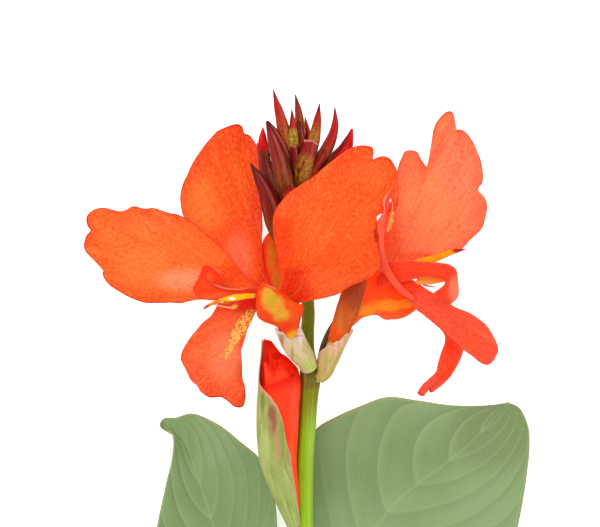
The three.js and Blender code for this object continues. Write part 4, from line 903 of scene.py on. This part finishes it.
def leaf_blade(node, spec, material):
    """The blade: two halves that rise from the midrib, pleated between the side veins, waved at the rim."""
    seed = spec["seed"]
    tt, ss = net(170, 61)
    off = np.abs(ss)
    middle, left, right = (route(spec[key])(tt[:, 0])[:, None] for key in ("mid", "left", "right"))
    grid = middle * (1 - off[..., None]) + np.where(ss[..., None] < 0, left, right) * off[..., None]
    phase = MAIN_VEINS * (tt - np.where(ss < 0, 0.2, 0.34) * off**1.4)
    phase += 0.12 * np.sin(3 * FULL_TURN * tt + np.random.default_rng(seed).uniform(0, 6)) * off
    pleat = np.abs((phase % 1) - 0.5) * 2
    bow = np.sin(math.pi * tt)
    lift = blend_of(spec["depth"])(tt) + blend_of(spec["sides"])(tt) * off**1.5
    lift += PLEAT * (1 - pleat**2) * bow * np.clip(4 * off, 0, 1) * np.clip(6 * (1 - off), 0, 1)
    lift += RIM_WAVE * off**3 * np.sin(4.5 * FULL_TURN * tt + seed) * bow
    lift += RIDGE * np.exp(-(ss / 0.03) ** 2) * bow
    grid[..., 2] += np.maximum(lift, LEAST_LEAF_LIFT)
    fields = {"blade": triples(ss, tt, seed), "grain": triples(phase, phase * SMALL_VEINS, seed)}
    slab_piece(node + "_skin", grid, LEAF_THICK * (1 - 0.4 * off**8), fields, material, node)


def leaves():
    blade_look = leaf_material()
    rib_look = tissue("leaf rib", (170, 186, 120), (150, 172, 110), (190, 200, 140), around=30)
    sheath_look = tissue("leaf sheath", (150, 176, 70), (138, 164, 96), (176, 190, 104),
                         edge=(196, 188, 140), around=44)
    rib_radius = blend_of([2.2, 1.9, 1.6, 1.3, 1.0, 0.5])
    for node, spec in LEAVES.items():
        leaf_blade(node, spec, blade_look)
        rib = [(x, y, z - 0.6) for (x, y), z in zip(spec["mid"], spec["depth"])]
        rod(node + "_midrib", rib, lambda t, a: np.minimum(rib_radius(t), MIDRIB_R) + 0 * a, rib_look, None,
            sides=20, rows=80)
        sheath_radius = STEM_R + spec["sheath_gap"] + SHEATH_THICK / 2
        wrap_piece(node + "_sheath", sheath_look, "leaf", STALK, [sheath_radius], 0, spec["sheath_end"],
                   spec["sheath_turn"], 330, thick=SHEATH_THICK, rows=50, cols=121)


def stem():
    radius = ramp_of([(0, STEM_R + 0.1), (0.73, STEM_R - 0.1), (0.765, STEM_R + 0.3), (0.78, NODE_R),
                      (0.79, NODE_R - 0.2), (0.815, RACHIS_R + 0.2), (1, RACHIS_R - 0.3)])

    def ribbed(t, a):
        return radius(t) * (1 + 0.012 * np.sin(9 * a) + 0.01 * np.sin(5 * a + 8 * t))
    rod("stem_skin", STALK, ribbed, stem_material(), "stem", sides=64, rows=320)


stem()
leaves()

# ------------------------------------------------------------------ petals

SMALL_LOOKS = {
  "stamen fold": petal((250, 50, 30), (240, 36, 18), [((-34, 67), (2, 3), (246, 96, 36), 0.5)],
    line=(206, 30, 14), grain=0.4),
  "pale strand": petal((255, 206, 164), (253, 164, 124), line=(240, 130, 96), grain=0.3),
  "anther": petal((238, 160, 88), (228, 132, 70), line=(206, 84, 40), grain=2.2, roughness=0.8),
  "pollen": petal((253, 170, 72), (252, 150, 70), line=(240, 110, 50), grain=0.5, roughness=0.7),
  # the dark red spot at (-15, 57) is painted shade beside the style's end
  "red throat": petal((228, 28, 6), (226, 40, 12), [((-15, 57), (3.4, 4.5), (120, 14, 6), 0.9),
    ((-26, 57.6), (3.5, 2.4), (246, 96, 60), 0.9)], line=(226, 40, 12), grain=0.4),
  "pink rim": petal((253, 132, 104), (252, 110, 82), line=(248, 96, 72), grain=0.2),
  "orange strand": petal((246, 132, 72), (226, 90, 36), line=(196, 70, 30), grain=0.3),
  "white knob": petal((255, 236, 222), (255, 214, 190), line=(255, 200, 170), grain=0.1),
  # throat: a dark red; on right_shade_strip it is painted shade along a folded petal edge
  "throat": petal((196, 30, 6), (150, 20, 6), line=(120, 14, 4), grain=0.6),
}


def petals():
    for seed, (node, spec) in enumerate({**LEFT_FLOWER, **RIGHT_FLOWER}.items(), 1):
        spec["look"].name = node
        blade_piece(node + "_skin", spec, spec["look"], seed, node)
    for name, look in SMALL_LOOKS.items():
        look.name = name
    for seed, (name, spec) in enumerate(SMALL_PARTS.items(), 30):
        look = SMALL_LOOKS[spec["look"]]
        blade_piece(name + "_skin", {**spec, "strap": True}, look, seed, rows=40, cols=15)


petals()

# ------------------------------------------------------------------ tubes, bracts and the red bud

LEFT_TUBE = [(2, 33.2, 26.5), (0, 37.2, 29), (-3.1, 41.6, 31.8), (-5.2, 46, 34), (-7.7, 51.3, 36.4),
             (-11.2, 57.6, 39.5)]
LEFT_TUBE_RADII = [(0, 1.6), (0.2, 2.3), (0.45, 2.9), (0.8, 3.2), (0.95, 3), (1, 2.2)]
RIGHT_TUBE = [(4.2, 29.2, 24.3), (6.9, 32.4, 25.3), (8.1, 36.7, 26.6), (9.9, 41.4, 27.5), (12.1, 46, 28),
              (17.9, 54.6, 28), (27.3, 65, 27.5)]
RIGHT_TUBE_RADII = [(0, 1.0), (0.1, 1.7), (0.25, 2.5), (0.42, 2.2), (0.6, 1.9), (0.8, 2.6), (0.93, 2.8),
                    (1, 1.8)]
BUD_AXIS = [(-2.6, -26, 16), (-6.7, -10, 19.8), (-9, 0, 22.2), (-9.55, 8.4, 24), (-9.3, 19.8, 25.5),
            (-8.75, 28, 26.3), (-9.8, 37, 27), (-11.8, 45.5, 27)]
CORE_AXIS = BUD_AXIS[:6] + [(-9.3, 33, 26.7)]
CORE_RADII = [(0, 0.8), (0.3, 1.6), (0.6, 3), (0.88, 3.4), (1, 1.6)]


def tubes():
    look = tissue("tube skin", (196, 196, 116), (226, 116, 54), (172, 150, 88))
    for node, line, radii in (("left_tube", LEFT_TUBE, LEFT_TUBE_RADII),
                              ("right_tube", RIGHT_TUBE, RIGHT_TUBE_RADII)):
        radius = ramp_of(radii)
        rod(node + "_skin", line, lambda t, a: radius(t) + 0 * a, look, node)


def bract(node, look, axis, radius, start, end, turn, span, rim, slot="bract", **more):
    wrap_piece(node + "_skin", look, slot, axis, radius, start, end, turn, span, rim, node, **more)


def bud_core(look):
    radius = ramp_of(CORE_RADII)
    rod("red_bud_core_skin", CORE_AXIS, lambda t, a: radius(t) * (1 + 0.05 * np.cos(3 * a + 2)), look,
        "red_bud_core", sides=36, rows=80)


tubes()

# left flower's calyx
left_calyx = tissue("left bract", (214, 208, 124), (222, 192, 156), (190, 150, 112), edge=(244, 222, 210),
    blotches=[((-8.4, 45), (1.3, 7), (176, 120, 88), 0.8), ((-6.6, 47.6), (1.4, 3.4), (182, 150, 140), 0.7),
    ((-1.4, 47), (1.6, 6), (246, 220, 214), 0.95), ((-3, 45.8), (3, 0.4), (196, 130, 110), 0.8),
    ((1.2, 34.6), (3.4, 1.6), (192, 206, 100), 0.8), ((-4.6, 39.6), (0.8, 4), (186, 120, 80), 0.6)],
    around=9, ragged=1.5, mottle=((226, 200, 180), (176, 178, 96), (176, 112, 92)))
bract("left_bract", left_calyx, LEFT_TUBE, [2.7, 3.9, 4.3, 3.9], 0.03, 0.75, 5, 210,
    rim=[(-100, 0.7), (-70, 0.73), (-40, 0.67), (0, 0.69), (40, 0.75), (70, 0.74), (110, 0.6)])

# right flower's calyx
right_calyx = tissue("right bract", (196, 184, 96), (224, 178, 140), (196, 148, 100), edge=(238, 184, 162),
    blotches=[((7.6, 38), (1.3, 4.4), (176, 178, 96), 0.7), ((5, 29.9), (1.2, 1), (214, 150, 106), 0.9),
    ((9, 42.4), (2.6, 0.8), (226, 140, 84), 0.8), ((13.2, 45), (1, 4), (240, 196, 180), 0.9),
    ((11.2, 41), (0.5, 4), (244, 200, 164), 0.7)], around=9, ragged=1.5,
    mottle=((224, 176, 134), (170, 160, 78), (182, 116, 76)))
bract("right_bract_lower", right_calyx, RIGHT_TUBE, [1.7, 3, 3.7, 3.85, 3.7, 3.6], 0.03, 0.58,
    25, 250, seed=2, flare=0.15, rim=[(-100, 0.16), (-86, 0.23), (-63, 0.266), (-35, 0.308),
    (-25, 0.35), (-15, 0.345), (5, 0.4), (18, 0.405), (28, 0.45), (36, 0.53), (60, 0.55), (100, 0.5),
    (150, 0.36)])
# the bract's back, darker olive than its front: its own green darkened by painted shade
right_bract_shade = tissue("right bract edge", (120, 132, 52), (140, 96, 60), (92, 102, 40), edge=(120, 84, 60))
bract("right_bract_back", right_bract_shade, RIGHT_TUBE, [1.8, 3.2, 4, 4.2, 4.2, 4.4], 0.06, 0.64, -128, 84,
    seed=3, rim=[(-170, 0.4), (-120, 0.6), (-86, 0.64)])

# red bud
# Red bud petals: lift brightens them and glow makes them give off red light, both painted light in the
# bud's shaded inside; the four dark red blotches at y 34 to 38 are painted shade in its hollow and crease.
red_look = tissue("bud petals", (252, 78, 44), (253, 62, 34), (242, 40, 20), edge=(216, 24, 14), around=7,
    roughness=0.45, lift=1.2, glow=0.13, blotches=[((-10.4, 38.2), (2.6, 2), (190, 12, 16), 0.85),
    ((-13.6, 37), (0.9, 4), (196, 16, 16), 0.7), ((-10, 35), (0.5, 1.8), (172, 8, 12), 0.9),
    ((-5.2, 3), (1.4, 7), (222, 96, 60), 0.6), ((-5.6, 34), (1.2, 1.6), (214, 16, 14), 0.5),
    ((-4, 20), (2.4, 15), (253, 96, 74), 0.3), ((-10, 4), (4, 10), (250, 92, 62), 0.4)])
bud_core(red_look)
bract("red_bud_petal_inner", red_look, BUD_AXIS, [3, 4.9, 5.5, 5.6, 5.2], 0.3, 0.89, -20,
    310, rim=[(-175, 0.8), (-100, 0.86), (-74, 0.887), (-60, 0.885), (-44, 0.872), (-33, 0.86),
    (-27, 0.834), (-21, 0.834), (-11, 0.857), (0, 0.868), (10, 0.869), (24, 0.85), (34, 0.831), (50, 0.81),
    (135, 0.78)], slot="petal", thick=BUD_THICK, rows=70, cols=121, seed=4)
bract("red_bud_petal", red_look, BUD_AXIS, [2.4, 4.8, 6.5, 6.95, 6.65, 3.2], 0.1, 1, 92,
    330, rim=[(-73, 0.748), (-65, 0.752), (-40, 0.767), (-8, 0.785), (14, 0.793), (38, 0.8),
    (70, 0.81), (90, 0.822), (119, 0.84), (136, 0.87), (149, 0.893), (164, 0.908), (172, 0.935),
    (186, 0.972), (199, 0.984), (225, 0.99), (257, 1)], slot="petal", thick=BUD_THICK,
    rows=110, cols=141, seed=5)
bud_calyx = tissue("bud bract", (166, 182, 104), (160, 164, 88), (112, 126, 52), edge=(242, 150, 124),
    around=8, edge_from=(0.94, 0.965), blotches=[((-11.6, 15), (2.8, 8), (170, 130, 94), 0.8),
    ((-12, 18), (2.3, 4), (152, 80, 64), 0.7), ((-11, 14), (1.5, 4.6), (158, 84, 68), 0.65),
    ((-10.2, 9), (1.2, 7), (196, 146, 110), 0.6), ((-14, 6), (2, 8), (190, 196, 118), 0.7),
    ((-15.4, 22), (1.1, 6), (122, 128, 58), 0.8), ((-13.2, 25), (0.8, 5), (150, 150, 84), 0.7),
    ((-9.6, 4), (1.4, 6), (206, 150, 116), 0.6)], ragged=1.3,
    mottle=((190, 196, 128), (142, 152, 70), (200, 150, 118)))
bract("red_bud_bract", bud_calyx, BUD_AXIS, [2.9, 5.5, 7.3, 7.9, 7.7, 3.95], 0.04, 1,
    -105, 282, rim=[(-246, 0.5), (-180, 0.85), (-130, 0.98), (-105, 1), (-92, 0.84), (-75, 0.775),
    (-57, 0.751), (-27, 0.712), (-4, 0.666), (14, 0.58), (20, 0.5), (36, 0.42)], thick=BUD_THICK, rows=100,
    cols=121, seed=6)


# ------------------------------------------------------------------ bud head

HEAD_AXIS = [(-1.8, 82, 27.8), (-1.8, 92, 29), (-1.6, 102, 30), (-1.6, 112, 30.5), (-2.2, 120, 30)]
HEAD_RADII = [2, 2.4, 2.8, 2.2, 0.8]
HEAD_TINT = ((0.2, 0.8, 0), (0, 1, 0.2))
CUP_FROM = 0.5   # a bud that ends blunter than this is an open cup

# Centre line from root to tip, greatest radius, how blunt it ends, (redness, olive share, dark tip), the
# stretch that is olive and its softness, and which part is bright red. A dark tip below 0 is a pale rim.
BUDS = [
  ([(-4.7, 102.7, 29.5), (-6.1, 112.7, 32.5), (-8.3, 122.8, 33.5), (-11.5, 134.6, 33)], 2.55, 0.06,
   (0.5, 0.4, 0.3), (0, 0.55, 0.4)),
  ([(-2.9, 109.2, 29.5), (-1.9, 119.3, 29.8), (-2.4, 126.5, 29.6), (-3.5, 133, 29)], 1.95, 0.06,
   (0.25, 0.5, 0.8), (0, 0.6, 0.3)),
  ([(-2.9, 105.5, 31), (-3.9, 112.7, 34.3), (-4.2, 119.9, 35.6), (-4.8, 127.5, 35.2)], 1.85, 0.06,
   (0.5, 1, 0.8), (0.38, 0.68, 0.06)),
  ([(-2.3, 102.7, 31), (-3, 108, 34.4), (-4.1, 114.1, 36)], 2, 0.8, (0.1, 0.3, -0.4), (0, 0.45, 0.2)),
  ([(-1.8, 106.3, 31), (-0.9, 113.4, 33.8), (-1.3, 118.5, 34), (-1.9, 123.2, 33.6)], 1.6, 0.06,
   (0.1, 0.2, 1), (0, 0.3, 0.2)),
  ([(-0.4, 111, 30), (1.2, 117.4, 31.2), (0.7, 121.4, 31.4), (-0.2, 125.3, 31)], 1, 0.06, (0.5, 0.3, 0.6),
   (0, 0.45, 0.2)),
  ([(0, 104.8, 31), (2.3, 112.7, 34.3), (3.9, 120.6, 35), (5.3, 129.6, 34.6)], 2.25, 0.05,
   (0.55, 0.55, 0.8), (0.35, 0.66, 0.2)),
  ([(-1.8, 100.1, 32), (-0.2, 106.2, 35.2), (2.4, 115.7, 36.6)], 2.95, 0.93, (0.25, 0.85, -0.8),
   (-0.2, 0.62, 0.3)),
  ([(0.4, 102.7, 30), (4.7, 108.8, 31.5), (8.4, 114.2, 31.8), (10.7, 120.7, 31.6), (10.8, 128.6, 31)],
   2.15, 0.05, (0.55, 0.3, 0.5), (0, 0.45, 0.2)),
  ([(-0.4, 101.2, 31), (3.2, 106.6, 33.2), (5.8, 110.2, 33.8), (7.4, 113.2, 33.2)], 2, 0.3,
   (0.35, 0.3, 0.4), (0, 0.45, 0.2)),
  ([(0.4, 100.5, 29), (9, 106.4, 29.2), (14.4, 112.6, 29.5), (16.1, 117, 29.4), (17, 120.5, 29)], 3.45,
   0.12, (1, 0, 0), (0, 0, 0.2), "side"),
  ([(-6.5, 94.7, 31.5), (-7.7, 102.6, 35.5), (-10.4, 112.6, 36.5), (-13.9, 123.1, 35)], 3.35, 0.08,
   (0.12, 0.15, 0.6), (0.1, 0.4, 0.3)),
  ([(-5.2, 104.1, 31), (-8.2, 113, 34.2), (-10.9, 119.1, 34.6), (-13.6, 123.1, 34)], 2.35, 0.2,
   (0.1, 0.1, 0.9), (0, 0, 0.2)),
  ([(-8, 94.4, 28.5), (-11.8, 100.6, 28.3), (-14.6, 108.1, 28.5), (-15.8, 115.4, 28.6)], 2.9, 0.62,
   (0.05, 0.2, 0.5), (0, 0.3, 0.2)),
  ([(-13.6, 107.6, 28.6), (-15.1, 114, 29.4), (-15.2, 121.2, 29.2)], 2.05, 0.06, (1, 0, 0), (0, 0, 0.2),
   "tip"),
  ([(-4.9, 92.6, 33), (-4.9, 96.6, 36), (-4.7, 100.3, 36.4)], 2.9, 0.12, (0.35, 0, -0.3), (0, 0, 0.2)),
  ([(-8.5, 79, 28.5), (-11.1, 85.5, 30), (-12.3, 91.8, 32), (-14.2, 97.5, 33), (-16.7, 102.6, 33),
   (-19.7, 108, 32)], 3.4, 0.06, (0.12, 0.2, 0.7), (0, 0.3, 0.2)),
  ([(-2, 89, 28), (-5, 84.6, 28.3), (-9.3, 81.6, 29)], 1.8, 0.9, (0.2, 0.3, 0), (0, 0.5, 0.2)),
  ([(-0.5, 97, 28), (3.4, 103, 24.5), (4.8, 108, 23.5), (5.6, 112, 23)], 2.4, 0.08, (0.35, 0.5, 0.8),
   (0, 0.5, 0.2)),
  ([(-3, 99, 28), (-7.4, 107, 24.5), (-9.2, 113, 23.5), (-10.8, 118, 23)], 2.4, 0.08, (0.35, 0.5, 0.8),
   (0, 0.5, 0.2)),
  ([(-1.5, 101, 28), (-1, 109, 25), (-0.4, 115, 24), (0.2, 121, 24)], 2.1, 0.08, (0.3, 0.5, 0.8),
   (0, 0.5, 0.2)),
  ([(-1.5, 88, 28), (3, 94, 26), (6, 100, 25), (8.6, 106, 25)], 2.5, 0.08, (0.3, 0.5, 0.8),
   (0, 0.5, 0.2)),
]


def bud_tint(t, a, tint, zone, glow=""):
    """Redness, olive share and tip darkness at every point of one bud."""
    redness, olive, dark = tint
    if glow == "tip":
        redness = redness * np.clip((t - 0.25) / 0.2, 0, 1)
    if glow == "side":
        redness = redness * np.clip((t - 0.4) / 0.2, 0, 1) * np.clip(1.5 + 2.2 * np.sin(a), 0.1, 1)
    low, high, soft = zone
    green = olive * np.clip((t - low) / soft + 0.5, 0, 1) * np.clip((high - t) / soft + 0.5, 0, 1) + 0 * a
    return triples(redness, green, dark)


def bud_body(k, line, widest, blunt, sides, rows):
    """One bud, whose petals overlap in a spiral ledge."""
    shape = ramp_of([(0, 0.6 * widest), (0.3, 0.95 * widest), (0.5, widest),
                     (0.78, max(0.62, blunt) * widest), (1, blunt * widest)])

    def radius(t, a):
        turn = (a / FULL_TURN * 2 + 0.35 * t + 0.37 * k) % 1
        keel = 0.16 * (np.abs(np.sin(1.5 * a + 0.9 + 1.3 * k)) - 0.6)
        return shape(t) * (1 + (0.1 * (turn - 0.5) - keel) * np.clip((1 - t) * 6, 0, 1))
    grid, t, a = rod_grid(line, radius, sides, rows)
    if blunt > CUP_FROM:   # its rim is uneven and leans outward
        along = np.subtract(line[-1], line[-2])
        rise = 0.5 * np.sin(a + 1.5) + 0.35 * np.sin(3 * a + k) + 0.15 * np.sin(7 * a)
        share = np.clip((t - 0.6) / 0.4, 0, 1)[:, None, None] ** 2
        grid += share * rise[None, :, None] * (along / np.linalg.norm(along))
    return grid, t, a


def bud_head():
    """The head's own axis and all closed buds as one mesh."""
    sides, rows = 40, 56
    axis_radius = blend_of(HEAD_RADII)
    bodies = [rod_grid(HEAD_AXIS, lambda t, a: axis_radius(t) + 0 * a, sides, rows)]
    bodies += [bud_body(k, *bud[:3], sides, rows) for k, bud in enumerate(BUDS, 1)]
    tints = [HEAD_TINT] + [bud[3:] for bud in BUDS]
    places, faces, blades, grains = [], [], [], []
    for k, ((grid, t, a), tint) in enumerate(zip(bodies, tints)):
        places.append(grid.reshape(-1, 3))
        faces += rod_faces(rows, sides, k * rows * sides)
        blades.append(triples(a[None, :] / FULL_TURN, t[:, None], k))
        grains.append(bud_tint(t[:, None], a[None, :], *tint))
    fields = {"blade": np.vstack(blades), "grain": np.vstack(grains)}
    make_object("bud_cluster_skin", np.vstack(places), faces, fields, bud_material(), "bud_cluster")


bud_head()

# ------------------------------------------------------------------ floor, light, camera

GROUND_HALF = 1.6
GROUND_GLOW = 0.55
SKY_LIGHT = 0.95
LAMPS = (("key", (-0.6, 0.7, 1.4), 0.9, 13.0), ("fill", (0.8, -0.3, 1.4), 1.4, 4.0))   # place, width, power
LAMPS_AIM = (0, 0.05, 0)
CAMERA_HEIGHT = 2.0
SEEN_WIDTH = 0.216            # at the height of the flowers
SEEN_HEIGHT = 0.035
CAMERA_OVER = (-3.11, 83.17)  # mm


def floor():
    mesh = bpy.data.meshes.new("ground")
    corners = [(x * GROUND_HALF, y * GROUND_HALF, 0) for x, y in ((-1, -1), (1, -1), (1, 1), (-1, 1))]
    mesh.from_pydata(corners, [], [(0, 1, 2, 3)])
    sh = Shader("ground paper", 0.9, Emission_Color=(1, 1, 1, 1), Emission_Strength=GROUND_GLOW)
    fibre = sh.noise(sh.place(), 400)
    colour = sh.mix(sh.rise(fibre, 0.3, 0.7), (0.93, 0.95, 0.95, 1), (0.95, 0.97, 0.97, 1))
    mesh.materials.append(sh.done(colour))
    add_to_scene("ground", mesh)


def light():
    world = bpy.data.worlds.new("studio")
    world.use_nodes = True
    backdrop = world.node_tree.nodes["Background"]
    backdrop.inputs["Color"].default_value = (1, 1, 1, 1)
    backdrop.inputs["Strength"].default_value = SKY_LIGHT
    bpy.context.scene.world = world
    for name, place, width, power in LAMPS:
        lamp = bpy.data.lights.new(name, "AREA")
        lamp.size = width
        lamp.energy = power
        aim = (Vector(LAMPS_AIM) - Vector(place)).to_track_quat("-Z", "Y")
        add_to_scene(name, lamp, place).rotation_euler = aim.to_euler()


def camera():
    data = bpy.data.cameras.new("view")
    data.lens = data.sensor_width * (CAMERA_HEIGHT - SEEN_HEIGHT) / SEEN_WIDTH
    data.clip_end = 20
    over_x, over_y = CAMERA_OVER
    bpy.context.scene.camera = add_to_scene("view", data, (over_x * MM, over_y * MM, CAMERA_HEIGHT))
    bpy.context.scene.view_settings.view_transform = "Standard"


floor()
light()
camera()
